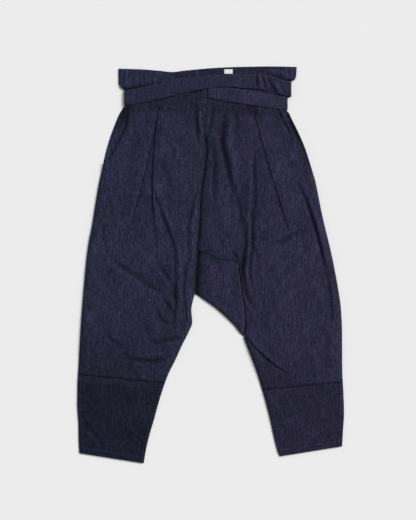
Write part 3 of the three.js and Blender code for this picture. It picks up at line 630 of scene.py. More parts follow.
def thread_material():
    """A twisted cotton thread, dyed with the denim and rubbed a little paler."""
    material, shader = plain_material("navy_thread", (0.05, 0.055, 0.1), 0.8)
    tree = material.node_tree
    place = node(tree, "ShaderNodeTexCoord").outputs["Object"]
    spots = node(tree, "ShaderNodeTexNoise", Vector=place, Scale=260.0, Detail=2.0)
    rubbed = node(tree, "ShaderNodeValToRGB", Fac=spots.outputs["Fac"])
    rubbed.color_ramp.elements[0].color = (0.034, 0.037, 0.072, 1)
    rubbed.color_ramp.elements[1].color = (0.085, 0.09, 0.15, 1)
    tree.links.new(rubbed.outputs["Color"], shader.inputs["Base Color"])
    twist = node(tree, "ShaderNodeTexWave", Vector=place, Scale=900.0)
    ply = node(tree, "ShaderNodeBump", Strength=0.3, Distance=0.0002, Height=twist.outputs["Fac"])
    tree.links.new(ply.outputs["Normal"], shader.inputs["Normal"])
    return material


thread = thread_material()


def stitches(name, piece, lines, material=thread, pitch=4.0, length=2.9, wide=0.6):
    """Rows of stitches along lines of points in millimetres. Each stitch lies on the piece's upper face,
    which is found from above."""
    faces = [face.vertices for face in piece.data.polygons]
    cloth = BVHTree.FromPolygons([vertex.co for vertex in piece.data.vertices], faces)
    bm = bmesh.new()
    for points in lines:
        points = np.array(points, float)
        run = np.concatenate([[0], np.cumsum(np.hypot(*np.diff(points, axis=0).T))])
        for start in np.arange(1, run[-1] - length, pitch):
            ends = []
            for at in (start, start + length):
                x, y = (np.interp(at, run, points[:, k]) * MM for k in (0, 1))
                ends.append(cloth.ray_cast(Vector((x, y, 50 * MM)), Vector((0, 0, -1)))[0])
            if None in ends:
                continue
            along = ends[1] - ends[0]
            turn = along.to_track_quat("X", "Z").to_matrix().to_4x4()
            size = Matrix.Diagonal((along.length / 2, wide * MM / 2, wide * MM / 3, 1))
            middle = (ends[0] + ends[1]) / 2 + Vector((0, 0, 0.1 * MM))
            laid = Matrix.Translation(middle) @ turn @ size
            bmesh.ops.create_icosphere(bm, subdivisions=1, radius=1, matrix=laid)
    sewing = finished(name, bm, material)
    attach(sewing, "root")
    return sewing


# The roll at each leg's inner edge, down the leg: the height that it ends at, and how far in it reaches.
INNER_FOOT = {
    "left": through([(378, 3.2), (340, 4.2), (200, 4.4), (60, 4.4), (-60, 3.8), (-95, 1.7), (-480, 1.6)]),
    "right": through([
        (378, 3.0), (300, 1.9), (60, 2.0), (33, 2.9), (28, 4.8), (22, 6.2), (7, 6.6), (-120, 5.0),
        (-180, 1.7), (-480, 1.6)])}
INNER_ROLL = {
    "left": through([(378, 4), (300, 6), (60, 6), (-60, 7), (-110, 16), (-480, 14)]),
    "right": through([
        (378, 12), (320, 30), (100, 34), (40, 20), (0, 22), (-150, 24), (-200, 14), (-480, 14)])}


def front_edge(leg, y):
    """A front's outer edge: the pocket mouth, then the side seam below it."""
    return np.where(y > POCKET_END[leg], pocket_edge[leg](y), SIDE[leg](y))


def front_painted_shade(leg, x, y, from_side, from_inner, from_cuff, at_pocket):
    """Painted shade and highlight of a front along its seams and edges, and painted shade over its lower leg.
    """
    at_centre = soft_step(y, -72, -60) * (1 - soft_step(y, 290, 330))
    if leg == "left":
        # painted shadow along the centre front, painted highlight beside it and on the pocket's edge, painted
        # shade at the hip and lower leg
        tone = line_tone(from_inner, 5, -0.5 * at_centre) * line_tone(from_inner - 11, 3, 0.1 * at_centre)
        tone = tone * line_tone(from_side, 2.5, 0.2 * at_pocket)
        tone = tone * (1 - 0.5 * soft_step(y, 345, 385) * (1 - soft_step(from_side, 4, 34)))
        low = 0.34 * soft_step(-y, 60, 290) * soft_step(-x, 60, 200)
    else:
        # painted shadow along the gusset's top seam, beside the left front's edge and at the lower end of the
        # pocket mouth, painted shade on the lower leg
        beside = x - left_inner(y)
        at_gusset = (y < 45) * (1 - soft_step(x, 44, 66))
        tone = line_tone(y - along_top_seam(x), 2.5, -0.35 * at_gusset)
        tone = tone * line_tone(beside, 5.5, -0.87 * at_centre) * line_tone(beside, 26, -0.12 * at_centre)
        at_mouth = soft_step(y, 210, 240) * (1 - soft_step(y, 330, 350))
        tone = tone * line_tone(from_side, 6, -0.85 * at_mouth)
        low = 0.16 * soft_step(-y, 150, 280) * (1 - soft_step(x, 170, 300))
    # painted shadow just above the cuff seam with a painted highlight above it, and painted shade below the
    # waist seam
    tone = tone * line_tone(from_cuff - 2, 3.0, -0.24) * line_tone(from_cuff - 8, 2.0, 0.08)
    return tone * (1 - low) * line_tone(WAIST_SEAM - y, 38, -0.24)


def front_surface(leg, x, y, seed):
    """Height of a front's top surface without its pleat, and its tone with its painted shade and highlight.
    """
    from_side = np.abs(x - front_edge(leg, y))
    from_inner = np.abs(x - INNER[leg](y)) if leg == "left" else from_right_inner(x, y)
    at_pocket = soft_step(y, POCKET_END[leg] - 34, POCKET_END[leg])
    if leg == "right":
        at_pocket = at_pocket * (1 - soft_step(y, 358, 372))
    at_side, at_inseam = CUFF_SEAM[leg]
    share = np.clip(from_side / (from_side + from_inner + 1e-6), 0, 1)
    from_cuff = y - at_side - (at_inseam - at_side) * share

    # The body of the cloth: low at the waist seam and the cuff seam, and rolled over at both edges.
    waist = soft_step(WAIST_SEAM - y, 0, 42)
    to_cuff = 1 - soft_step(from_cuff, -5, 70)
    body = WAIST_BODY + (BODY - WAIST_BODY) * waist - (BODY - CUFF_BODY) * to_cuff
    side_foot = EDGE_FOOT + 2.0 * at_pocket
    side_roll = 14 - 8 * at_pocket
    height = body - np.maximum(body - side_foot, 0) * (1 - rolled_edge(from_side, side_roll))
    inner_foot, inner_roll = INNER_FOOT[leg](y), INNER_ROLL[leg](y)
    height = height - np.maximum(body - inner_foot, -1) * (1 - rolled_edge(from_inner, inner_roll))

    # Its folds and puckers, and the dip of the cuff seam.
    inside = soft_step(np.minimum(from_side, from_inner), 0, 9)
    relief = fold_field(x, y, FOLDS) + rumple(x, y, 1.5, seed)
    soft = relief * inside + puckers(y, from_side, 0.35, seed) + puckers(y, from_inner, 0.4, seed + 2)
    soft = soft + puckers(x, from_cuff, 0.35, seed + 4)
    sewn = np.exp(-(from_cuff / 3.0) ** 2)
    height = np.maximum(height + soft * (0.25 + 0.75 * waist) - sewn, FRONT_UNDER)
    height = height - 1.8 * soft_step(y, WAIST_SEAM - 0.5, WAIST_SEAM + 2.5)
    tone = front_painted_shade(leg, x, y, from_side, from_inner, from_cuff, at_pocket)
    return height + over_tie(x, y), tone * relief_shade(relief) * patch_tone(x, y)


def pleat_columns():
    """The columns of a front: the part that each lies in, its share of the way across that part, its place in
    a folded lip, and the way that the lip faces."""
    columns = [("side", t, None, 0) for t in eased(np.linspace(0, 1, 38), 0.6)[:-1]]
    columns += [("outer", 0, k, 1) for k in range(len(LIP_SECTION))]
    columns += [("under", t, None, 0) for t in eased(np.linspace(0, 1, 15), 0.8)[1:-1]]
    columns += [("inner", 0, k, -1) for k in reversed(range(len(LIP_SECTION)))]
    columns += [("centre", t, None, 0) for t in eased(np.linspace(0, 1, 43), 0.6)[1:]]
    return columns


def front_panel(leg, seed):
    """A front on a grid whose columns follow the pleat's two folded edges down and under the cloth."""
    columns = pleat_columns()
    top = (WAIST_SEAM + 3,) * 2  # it runs on under the waistband
    bottom = tuple(y + SEAM_GAP for y in CUFF_SEAM[leg])
    outer_line = through([(y, a) for y, a, b in PLEATS[leg]])
    inner_line = through([(y, b) for y, a, b in PLEATS[leg]])
    towards = 1 if leg == "left" else -1  # from the side seam to the centre

    def place(across, down):
        column = np.rint(across * (len(columns) - 1)).astype(int)
        if leg == "right":
            column = len(columns) - 1 - column
        y_side = top[0] + (bottom[0] - top[0]) * down
        inner_edge, y_inner = inner_ends(leg, top[1], bottom[1], down)
        side = front_edge(leg, y_side)
        y_crease = [y_side + (y_inner - y_side) * share for share in (0.4, 0.6)]
        outer, inner = outer_line(y_crease[0]), inner_line(y_crease[1])
        folded = {1: soft_step(y_crease[0], CREASE_END[0] - 30, CREASE_END[0] + 60),
                  -1: soft_step(y_crease[1], CREASE_END[1] - 40, CREASE_END[1] + 110)}
        pressed = 0.45 + 0.55 * soft_step(WAIST_SEAM - y_crease[0], 0, 40)
        if leg == "right":
            pressed = pressed * (1 - 0.4 * soft_step(y_crease[0], 110, 220))
        x, lift, tone = np.zeros(len(across)), np.zeros(len(across)), np.ones(len(across))
        for k, (part, t, lip, way) in enumerate(columns):
            here = column == k
            at_outer, at_inner = folded[1][here], folded[-1][here]
            side_x, outer_x, inner_x, centre_x = side[here], outer[here], inner[here], inner_edge[here]
            if part == "side":
                x[here] = side_x + (outer_x - side_x) * t
                from_crease = np.abs(outer_x - x[here])
                puffed = 0.25 * np.exp(-((from_crease - 12) / 9) ** 2)
                lift[here] = at_outer * (1 - soft_step(from_crease, 8, 46) + puffed)
                # a painted highlight on the top layer beside the crease
                tone[here] = line_tone(from_crease, 2.5, 0.25 * at_outer)
            elif part == "under":
                x[here] = outer_x + (inner_x - outer_x) * t
                from_crease = np.minimum(np.abs(x[here] - outer_x), np.abs(x[here] - inner_x))
                from_waist = 1 if leg == "left" else soft_step(WAIST_SEAM - y_side[here], 10, 80)
                # painted shade on the cloth under the folded edges, deepest beside each crease
                shade = 0.08 + UNDER_SHADE[leg] * np.exp(-((from_crease / 4) ** 2))
                tone[here] = 1 - at_outer * from_waist * shade
            elif part == "centre":
                x[here] = inner_x + (centre_x - inner_x) * t
                from_crease = np.abs(inner_x - x[here])
                puffed = 0.3 * np.exp(-((from_crease - 11) / 8) ** 2)
                lift[here] = at_inner * (1 - soft_step(from_crease, 8, 40) + puffed)
                # a painted highlight on the top layer beside the crease
                tone[here] = line_tone(from_crease, 2.5, 0.25 * at_inner)
            else:
                # a lip: folded over where the crease is pressed, and spread flat where it has faded out
                crease_x, pleated = (outer_x, at_outer) if way > 0 else (inner_x, at_inner)
                offset, height = LIP_SECTION[lip]
                spread = 0.05 * (lip - (len(LIP_SECTION) - 1) / 2)
                x[here] = crease_x + towards * way * (spread + (TUCK * offset - spread) * pleated)
                lift[here] = pleated * height
                # the lip's top is painted lighter as a highlight, and its underside darker as shade
                tone[here] = 1 + pleated * (0.25 if lip < 3 else -0.5)
        share = np.clip((x - side) / (inner_edge - side), 0, 1)
        y = y_side + (y_inner - y_side) * share
        height, surface_shade_and_tone = front_surface(leg, x, y, seed)
        return x, y, height + LIP * lift * pressed, tone * surface_shade_and_tone

    return cloth_piece(f"front_panel_{leg}", len(columns) - 1, 250, place, leg_denim,
                       [f"front_{leg}"], thick=FRONT_CLOTH)


def set_in(line, low, high, inset):
    """Points along a line of the outline from one height to another, set in by so many millimetres."""
    return [(float(line(y)) + inset, y) for y in np.linspace(high, low, 60)]


FRONT_SEAMS = {  # the centre front or gusset seams, then the pocket mouth
    "left": [set_in(left_inner, -58, 374, -6), set_in(pocket_edge["left"], 252, 374, 6)],
    "right": [[(x + 2, y + 4) for x, y in GUSSET_SEAM[1:]], set_in(right_inseam, -166, 2, 4),
              set_in(pocket_edge["right"], 272, 362, -7)]}
for leg, seed in (("left", 0.4), ("right", 8.6)):
    panel = front_panel(leg, seed)
    sewing = stitches(f"front_stitches_{leg}", panel, FRONT_SEAMS[leg])

# ---- The cuffs: the lower front of each leg ----
# Each is sewn to its front at the knee, with the seam allowances of its edges pressed to one side. Its hem is
# turned up once and stitched.
HEM_TURN = 15
STITCH_INSET = 1.5  # from an edge to the stitches that hold it down
CUFF_PAINTED_SHADE = {"left": 0.47, "right": 0.76}  # painted shade over each cuff, much darker on the left leg's lower part
# The seam allowances pressed to one side: how far each reaches in from its edge, at the cuff's top and hem.
ALLOWANCES = {"left": [("inner", 8, 8), ("side", 8, 9)], "right": [("inner", 19, 7), ("side", 9, 9)]}


def cuff_surface(leg, x, y, down, seed):
    """Height of a cuff's top surface, and its tone with its painted shade and highlight."""
    edges = np.minimum(np.abs(x - SIDE[leg](y)), np.abs(x - INNER[leg](y)))
    length = abs(HEM[leg][0] - CUFF_SEAM[leg][0])
    above_hem = (1 - down) * length
    turned = FRONT_CLOTH * (1 - soft_step(above_hem, HEM_TURN - STITCH_INSET, HEM_TURN + 0.5))
    flat_edge = rolled_edge(above_hem, 2.5)
    body = CUFF_BODY - 2.2 * soft_step(down, 0.25, 1.0) + turned
    height = EDGE_FOOT + (body - EDGE_FOOT) * rolled_edge(edges, 12)
    relief = fold_field(x, y, FOLDS) + rumple(x, y, 1.2, seed)
    # painted shadow just below the cuff seam and a painted highlight along the hem's folded edge, then a
    # painted highlight on the turned hem's edge with a painted shadow just above it
    tone = relief_shade(relief) * line_tone(down * length, 3.0, -0.16) * line_tone(above_hem, 1.8, 0.2)
    tone = tone * line_tone(above_hem - HEM_TURN, 1.5, 0.16) * line_tone(above_hem - HEM_TURN - 3, 1.8, -0.16)
    for side, at_top, at_hem in ALLOWANCES[leg]:
        edge = SIDE[leg](y) if side == "side" else INNER[leg](y)
        beyond = np.abs(x - edge) - (at_top + (at_hem - at_top) * down)
        height = height + 0.5 * (1 - soft_step(beyond, -1.5, 1.0))
        # a painted highlight on the edge of each pressed allowance and a painted shadow just beyond it
        tone = tone * line_tone(beyond + 1.5, 1.6, 0.2) * line_tone(beyond - 1.5, 1.6, -0.16)
    # the painted shade of the left cuff lifts near its top seam
    if leg == "left":
        tone = tone * (1 + 0.3 * (1 - soft_step(down * length, 9, 18)))
    soft = relief * soft_step(edges, 0, 9) * soft_step(above_hem, 0, 40)
    soft = soft + puckers(x, down * length, 0.3, seed) + puckers(x, above_hem - HEM_TURN, 0.25, seed + 1)
    soft = soft + puckers(y, edges, 0.35, seed + 2)
    sewn = np.exp(-((down * length) / 3.0) ** 2)
    height = np.maximum(height + soft - sewn, FRONT_UNDER) - 0.5 * (1 - flat_edge)
    return height, tone * CUFF_PAINTED_SHADE[leg]


def front_cuff(leg, seed):
    def place(across, down):
        x, y = leg_shares(leg, eased(across, 0.7), down, CUFF_SEAM[leg], HEM[leg])
        return x, y, *cuff_surface(leg, x, y, down, seed)

    return cloth_piece(f"front_cuff_panel_{leg}", 100, 110, place, leg_denim,
                       [f"front_cuff_{leg}"], thick=FRONT_CLOTH)


def cuff_seams(leg):
    """The stitched lines of a cuff: the hem, the seam at its top, and the seams down its edges."""
    share = np.linspace(0.01, 0.99, 60)
    length = abs(HEM[leg][0] - CUFF_SEAM[leg][0])
    rows = [1 - (HEM_TURN - STITCH_INSET) / length, (14 if leg == "left" else 5) / length]
    lines = [np.stack(leg_shares(leg, share, down, CUFF_SEAM[leg], HEM[leg]), 1) for down in rows]
    for side, at_top, at_hem in ALLOWANCES[leg]:
        edge, inward = (SIDE[leg], 1) if side == "side" else (INNER[leg], -1)
        inward = inward if leg == "left" else -inward
        top, bottom = (ends[0 if side == "side" else 1] for ends in (CUFF_SEAM[leg], HEM[leg]))
        heights = np.linspace(top - 6, bottom + 8, 60)
        widths = np.linspace(at_top, at_hem, 60) - STITCH_INSET
        lines.append(np.stack([edge(heights) + inward * widths, heights], 1))
    return lines


for leg, seed, cut, area in (("left", 3.3, (0.22, 0.235), 0.037), ("right", 6.1, (0.22, 0.205), 0.029)):
    cuff = front_cuff(leg, seed)
    sewing = stitches(f"cuff_stitches_{leg}", cuff, cuff_seams(leg))

# ---- The gusset: one piece let in at the crotch ----
# It is folded along the crotch, half of it on the front and half on the back, and its edges run on under the
# two fronts, which are sewn down on it.
GUSSET_TOP = [(0, -31.5, 32.4), (1, 66, 6.4)]  # share across, x, y: the straight line under the seam
GUSSET_FOLD = [(0, -38.4, -69.5), (0.2, -16.8, -84.4), (0.42, 12.4, -105.6), (0.58, 33.8, -125),
               (0.73, 52.4, -144.4), (0.88, 68, -163), (1, 78, -173)]
GUSSET_FOLDS = [  # points, height, width, ridge beside it
    ([(14, 14), (18, 0), (23, -24)], -1.6, 3.5, 0.3),
    ([(76, -2), (81, -60), (84, -118)], 1.4, 2.5, 0.0),
    ([(-14, 10), (-20, -30), (-24, -66)], -1.6, 7, 0.3),
    ([(44, 0), (38, -50), (36, -100)], 1.0, 9, 0.0)]
UNDER_SEAM = 5  # how far the gusset runs on under the fronts
GUSSET_WIDTH, GUSSET_DEPTH = 105, 90  # rough size of a half, which distances from its edges are read by
FRONT_SHARE = 0.62  # share of the grid's rows that its front half has


def gusset_surface(x, y, fall, across):
    """Height of the front part's top surface, and its tone. It comes out from under the fronts and rolls over
    at the crotch."""
    from_left = np.abs(x - left_inner(y))
    rise = rolled_edge(from_left - 2, 34)
    roll = rolled_edge((1 - fall) * GUSSET_DEPTH, 12)
    past_top = along_top_seam(x) - y
    past_side = (1 - across) * GUSSET_WIDTH - UNDER_SEAM
    past_seam = np.minimum(past_top, past_side)
    under = INNER_FOOT["right"](np.minimum(y, 34)) - 1.0
    under = under - (under - 2.2) * soft_step(-past_seam, 0.3, 3)
    relief = fold_field(x, y, GUSSET_FOLDS) + rumple(x, y, 0.9, 2.2) + puckers(x + y, past_seam, 0.4)
    full = np.maximum(2.4 + 4.6 * rise + relief * rise, under)
    height = EDGE_FOOT + (under + (full - under) * rolled_edge(past_seam, 9) - EDGE_FOOT) * roll
    # painted shadow beside the left front's edge and along and below the top seam, and a painted highlight
    # along the side seam
    tone = relief_shade(relief) * line_tone(from_left - 3, 8, -0.88) * line_tone(from_left, 28, -0.22)
    tone = tone * line_tone(past_top, 2.6, -0.45 * (1 - soft_step(x, 40, 62)))
    tone = tone * line_tone(past_top - 3, 7, -0.26 * (1 - soft_step(x, 8, 34)))
    return height, tone * patch_tone(x, y) * line_tone(past_side - 2, 1.8, 0.2)


def gusset():
    """The gusset on a grid that runs down its front part to the crotch, round the fold and up behind."""
    def place(across, down):
        front = down <= FRONT_SHARE
        fall = np.where(front, down / FRONT_SHARE, (1 - down) / (1 - FRONT_SHARE))
        top_x, top_y = (np.interp(across, [0, 1], [row[k] for row in GUSSET_TOP]) for k in (1, 2))
        top_y = top_y + UNDER_SEAM
        fold_x, fold_y = (through([(row[0], row[k]) for row in GUSSET_FOLD])(across) for k in (1, 2))
        y = top_y + (fold_y - top_y) * fall
        # its left edge runs in under the left front, and its right edge follows the right front's seam
        under_left_front = np.where(front, -9 * (1 - soft_step(fall, 0.8, 1)), 0.6)
        straight = GUSSET_TOP[1][1] + (GUSSET_FOLD[-1][1] + 1.5 - GUSSET_TOP[1][1]) * fall
        seam = right_inseam(np.minimum(y, 6)) + UNDER_SEAM * (1 - soft_step(fall, 0.85, 1))
        x = top_x + (fold_x - top_x) * fall
        x = x + under_left_front * (1 - across) + (seam - straight) * across ** 3
        height, tone = gusset_surface(x, y, fall, across)
        behind = 0.15 + 1.6 * (1 - rolled_edge((1 - fall) * GUSSET_DEPTH, 6))
        return x, y, np.where(front, height, behind), tone

    return cloth_piece("crotch_gusset", 70, 120, place, leg_denim, ["gusset"], thick=FRONT_CLOTH)


gusset()

# ---- The pocket facings: the strips that show inside the slanted pocket mouths ----
# Each runs from the side seam in under the front's edge, and lies on the back panel.
FACING_REACH = {"left": (247, 377.7), "right": (271, 360)}  # lower and upper end
FACING_UNDER = 9  # how far it runs in under the front


def pocket_facing(leg):
    """The strip that shows inside a pocket mouth, deep in shade at its upper end."""
    low, high = FACING_REACH[leg]

    def place(across, down):
        y = high + (low - high) * down
        inward = FACING_UNDER if leg == "left" else -FACING_UNDER
        side, under = SIDE[leg](y), pocket_edge[leg](y) + inward
        x = side + (under - side) * (across if leg == "left" else 1 - across)
        roll = rolled_edge(np.abs(x - side), 6)
        # painted shade: the left strip darker towards its upper end, the right one dark all along, with a
        # painted shadow under the front's edge and a painted highlight on the side's edge
        tone = 1.15 - 0.8 * soft_step(y, 290, 372) if leg == "left" else np.full(len(x), 0.3)
        tone = tone * line_tone(x - pocket_edge[leg](y), 4, -0.4) * line_tone(x - side, 2, 0.25)
        return x, y, EDGE_FOOT + 1.2 * roll + over_tie(x, y) + 0.1 * rumple(x, y, 1, 4), tone

    return cloth_piece(f"pocket_mouth_facing_{leg}", 16, 60, place, leg_denim,
                       [f"pocket_facing_{leg}"], thick=0.8)


for leg, cut, area in (("left", (0.05, 0.13), 0.0042), ("right", (0.04, 0.09), 0.0016)):
    pocket_facing(leg)

# ---- The waistband: a deep band of denim, sewn on along the waist seam ----
# One piece behind and two in front, which meet at the centre front. The tie draws them in, so that the band's
# top stands up in small gathers.
CENTRE_FRONT = -12
BAND_START = WAIST_SEAM - 1.5  # the height of its lower edge
BAND_BODY = 2.9  # height of the front pieces' top surface where they lie flat
BAND_STITCHES = 5  # how far under its upper edge it is stitched
# Its sides, as heights and places across, and its upper edges, as places across and heights.
WAIST_LEFT = [(378, -205.3), (417, -205.3), (424, -214.4), (433, -220), (468, -220.6)]
WAIST_RIGHT = [
    (378, 182.4), (399.8, 182.4), (402, 191.3), (438, 191.3), (443, 201.6), (452, 205.2), (474, 206.4)]
BACK_WAIST_TOP = [
    (-219.6, 470), (-163, 468), (-125, 465), (-91, 461.8), (-67, 464.6), (-29, 468.4), (10, 471.6),
    (67, 474), (144, 475.2), (206.4, 474)]
FRONT_WAIST_TOP = [
    (-219.6, 468.8), (-171, 465), (-137, 461), (-94, 455.4), (-82, 445), (-24, 448), (36, 453), (110, 454),
    (130, 461), (149, 465.6), (187, 469.6), (206.4, 471.4)]
# The stretches of the tie that cross it: place across, upper edge, lower edge.
TIE_LEFT = [
    (-207.6, 415.7, 381.4), (-201.6, 416.6, 381.8), (-158, 425.3, 388.3), (-120, 431.5, 396.5),
    (-84, 437.5, 405.6)]
TIE_UPPER = [
    (-120, 441.4, 407), (-82, 444.5, 408.4), (-62, 446.4, 411.2), (-43, 448.3, 414.6), (-12, 451.7, 420.5),
    (36, 454.8, 424.8), (72, 455.5, 422.9), (110, 455.8, 420.5), (134, 453.4, 417.6), (158, 447.6, 410),
    (178, 440.4, 404.4), (193.7, 437, 402.6)]
TIE_LOWER = [
    (-22.3, 434.2, 402), (-7, 432, 399.8), (21, 427.7, 393.8), (38, 424.6, 391), (74, 419.6, 385.4),
    (111, 413.6, 379.4), (144, 407.8, 374.6), (178, 400.5, 370.8), (184.8, 399.2, 370.1)]
BAND_HEIGHT = 465.0  # where its width is read
TIE_MIDDLE, TIE_FOOT, LOWEST_TIE_TOP = 425, 405, 415.0  # heights of the crossing ties on it
GATHER_MIDDLE, GATHER_LENGTH = 455, 30  # height of their middles, and the length that their lean is for
GATHERS = [  # place across, height, width, and lean over the gather's length
    (-214, 2.0, 4, 2), (-203, 3.0, 5, 1), (-190, 1.6, 4, 4), (-179, 3.2, 5, 3), (-167, 2.0, 4, 1),
    (-156, 2.8, 5, -2), (-145, 1.6, 4, 3), (-133, 2.6, 5, 4), (-120, 1.8, 4, 2), (-108, 2.2, 5, 4),
    (118, 1.8, 4, -3), (128, 3.2, 5, -6), (139, 2.0, 4, -4), (149, 3.6, 5, -7), (160, 2.0, 4, -5),
    (171, 3.4, 5, -8), (182, 2.2, 4, -4), (193, 3.4, 6, -2), (202, 1.8, 4, 0)]


def table_line(rows, column):
    """The smooth line through one column of a table, along its first."""
    return through([(row[0], row[column]) for row in rows])


waist_left, waist_right = through(WAIST_LEFT), through(WAIST_RIGHT)
tie_tops = [(rows, table_line(rows, 1)) for rows in (TIE_LEFT, TIE_UPPER)]


def above_tie(x, y):
    """How far a point of the waistband is above the ties that cross it."""
    top = np.full(np.shape(x), LOWEST_TIE_TOP)
    for rows, line in tie_tops:
        top = np.where((x >= rows[0][0] - 3) & (x <= rows[-1][0] + 3), np.maximum(top, line(x)), top)
    return y - top


def gathers(x, y):
    """The small upright waves of the band's free top edge."""
    up = (y - GATHER_MIDDLE) / GATHER_LENGTH
    wave = 0
    for at, height, width, lean in GATHERS:
        wave = wave + height * np.exp(-((x - at - lean * up) / width) ** 2)
    return wave * soft_step(above_tie(x, y), 0.5, 16)


def waistband_place(left_at, right_at, top_at, surface):
    """The layout of a piece of the band between two sides and under an upper edge."""
    def place(across, down):
        left, right = left_at(BAND_HEIGHT), right_at(BAND_HEIGHT)
        top = top_at(left + (right - left) * across)
        y = BAND_START + (top - BAND_START) * (1 - down)
        x = left_at(y) + (right_at(y) - left_at(y)) * across
        return x, y, *surface(x, y)

    return place


back_top, front_top = through(BACK_WAIST_TOP), through(FRONT_WAIST_TOP)


def back_band(x, y):
    """Height and tone of the band's back piece."""
    relief = np.maximum(rumple(x, y, 1, 3), 0) * soft_step(above_tie(x, y), 0, 10)
    return 1.15 + over_tie(x, y) + 0.35 * relief, np.full(len(x), 0.85)


def front_band(x, y):
    """Height and tone of the band's front pieces: flat under the tie, puffed above and below it."""
    edge = np.minimum(x - waist_left(y), waist_right(y) - x)
    free = soft_step(above_tie(x, y), 0, 18)
    below_tie = soft_step(TIE_FOOT - y, 0, 20) * soft_step(y, 379, 392)
    puffed = (1.2 * free + 0.9 * below_tie) * rolled_edge(edge, 12)
    from_tie = soft_step(np.abs(y - TIE_MIDDLE), 12, 30)
    uneven = 0.55 * rumple(x, y, 1, 9) * rolled_edge(edge, 14) * (0.3 + 0.7 * from_tie)
    drawn = gathers(x, y) - 0.9 * free * (np.abs(x) > 95)
    folded = fold_field(x, y, FOLDS) * (1 - soft_step(y, 400, 425)) * rolled_edge(edge, 12)
    height = BAND_BODY + over_tie(x, y) + puffed + drawn + np.maximum(uneven + 0.4 * folded, -0.5)
    height = height - 0.7 * (1 - rolled_edge(edge, 6))
    # painted highlight on the gathers and folds and painted shade between them; painted shade below the ties
    # and at the lower left corner
    tone = relief_shade(2.4 * drawn + folded)
    tone = tone * np.where(y < TIE_MIDDLE, 0.76 - 0.1 * soft_step(y, 380, 400), 0.95)
    tone = tone * (1 - 0.45 * (1 - soft_step(y, 376, 386)) * soft_step(-x, 165, 195))
    # painted shadow above the upper stretches of the tie at the hips, and a painted highlight along its upper
    # edge
    beside_tie = above_tie(x, y) - 2
    tone = tone * line_tone(beside_tie, 6, -0.75 * soft_step(-x, 112, 185))
    tone = tone * line_tone(beside_tie, 4, -0.75 * soft_step(x, 112, 165))
    tone = tone * line_tone(y - front_top(x), 2.0, 0.25)
    sewn_in = 1 - soft_step(y, BAND_START, WAIST_SEAM + 2)
    return np.maximum(height, 2.6 + over_tie(x, y)) - 0.7 * sewn_in, tone


def centre_left(y):
    """The left front piece's edge at the centre front, the same at every height."""
    return CENTRE_FRONT - SEAM_GAP + 0 * y


def centre_right(y):
    """The right front piece's edge there."""
    return CENTRE_FRONT + SEAM_GAP + 0 * y


behind = waistband_place(waist_left, waist_right, back_top, back_band)
band = cloth_piece("waistband_back_piece", 180, 40, behind, leg_denim, ["back_waistband"])
for side, edges in (("left", (waist_left, centre_left)), ("right", (centre_right, waist_right))):
    before = waistband_place(*edges, front_top, front_band)
    band = cloth_piece(f"waistband_front_{side}", 150, 60, before, leg_denim,
                       [f"front_waistband_{side}"], thick=FRONT_CLOTH)
    span = np.linspace(edges[0](430.0) + 6, edges[1](430.0) - 3, 60)
    row = [(x, front_top(x) - BAND_STITCHES) for x in span]
    sewing = stitches(f"waistband_stitches_{side}", band, [row])

# ---- The tie: a long strip of denim, folded in and stitched flat ----
# It goes round the waist behind and crosses in front, where the loop holds it. Each stretch between two turns
# is a piece of its own.
TIE_WIDTH = 33
TIE_REST = 3.5  # height of its underside on the waistband
TURN_DROP = 4  # how far from a turned end it starts to go down
tie_denim = denim("tie_denim", slub=0.8)
TIE_CREASES = [  # points, height, width, ridge beside it
    # where the upper stretch is drawn over the hip
    ([(100, 452), (103, 436), (101, 424)], -0.6, 3, 0.0),
    ([(110, 453), (111, 438), (112, 423)], -4.2, 3.0, 0.6),
    ([(120, 446), (120, 434)], 2.2, 3.5, 0.0),
    ([(124, 447), (127, 436), (132, 423)], -4.4, 3.4, 0.3),
    ([(137, 447), (139, 434), (141, 420)], -3.8, 3.4, 0.3),
    ([(145, 430), (148, 419), (154, 406)], -7.5, 6.0, 0.4),
    ([(163, 440), (170, 425), (176, 411)], -1.2, 3, 0.4),
    # slight waves elsewhere
    ([(-190, 414), (-186, 396), (-190, 384)], 0.5, 4, 0.0),
    ([(-60, 444), (-58, 430), (-62, 418)], 0.4, 5, 0.0),
    ([(60, 418), (66, 404), (62, 390)], -0.5, 4, 0.0),
    ([(120, 408), (124, 394), (121, 380)], -0.5, 4, 0.0)]
LOOP = (-24.3, -9.7)  # the left and right edges of the loop that the lower stretch passes under


def on_waist(rows, x):
    """Height of the underside of a tie that lies on the front of the waistband."""
    upper, lower = table_line(rows, 1)(x), table_line(rows, 2)(x)
    spots = [over_tie(x, lower + (upper - lower) * t) for t in (0, 0.25, 0.5, 0.75, 1)]
    return TIE_REST + np.max(spots, 0)


def under_lower(x):
    """The lower stretch lies on the waistband all along."""
    return on_waist(TIE_LOWER, x) + SEAM_GAP


def under_left(x):
    """The left stretch climbs over the end of the upper one."""
    return on_waist(TIE_LEFT, x) + (TIE_STEP + SEAM_GAP) * soft_step(x, -165, -128)


def under_upper(x):
    """The upper stretch climbs over the lower one where they cross."""
    crossing = soft_step(x, -62, -30) * (1 - soft_step(x, 48, 92))
    low = on_waist(TIE_UPPER, x)
    return low + (np.maximum(low, under_lower(x) + TIE_STEP) - low) * crossing


def on_table(x):
    """The stretches behind the waist lie on the table."""
    return 0 * x


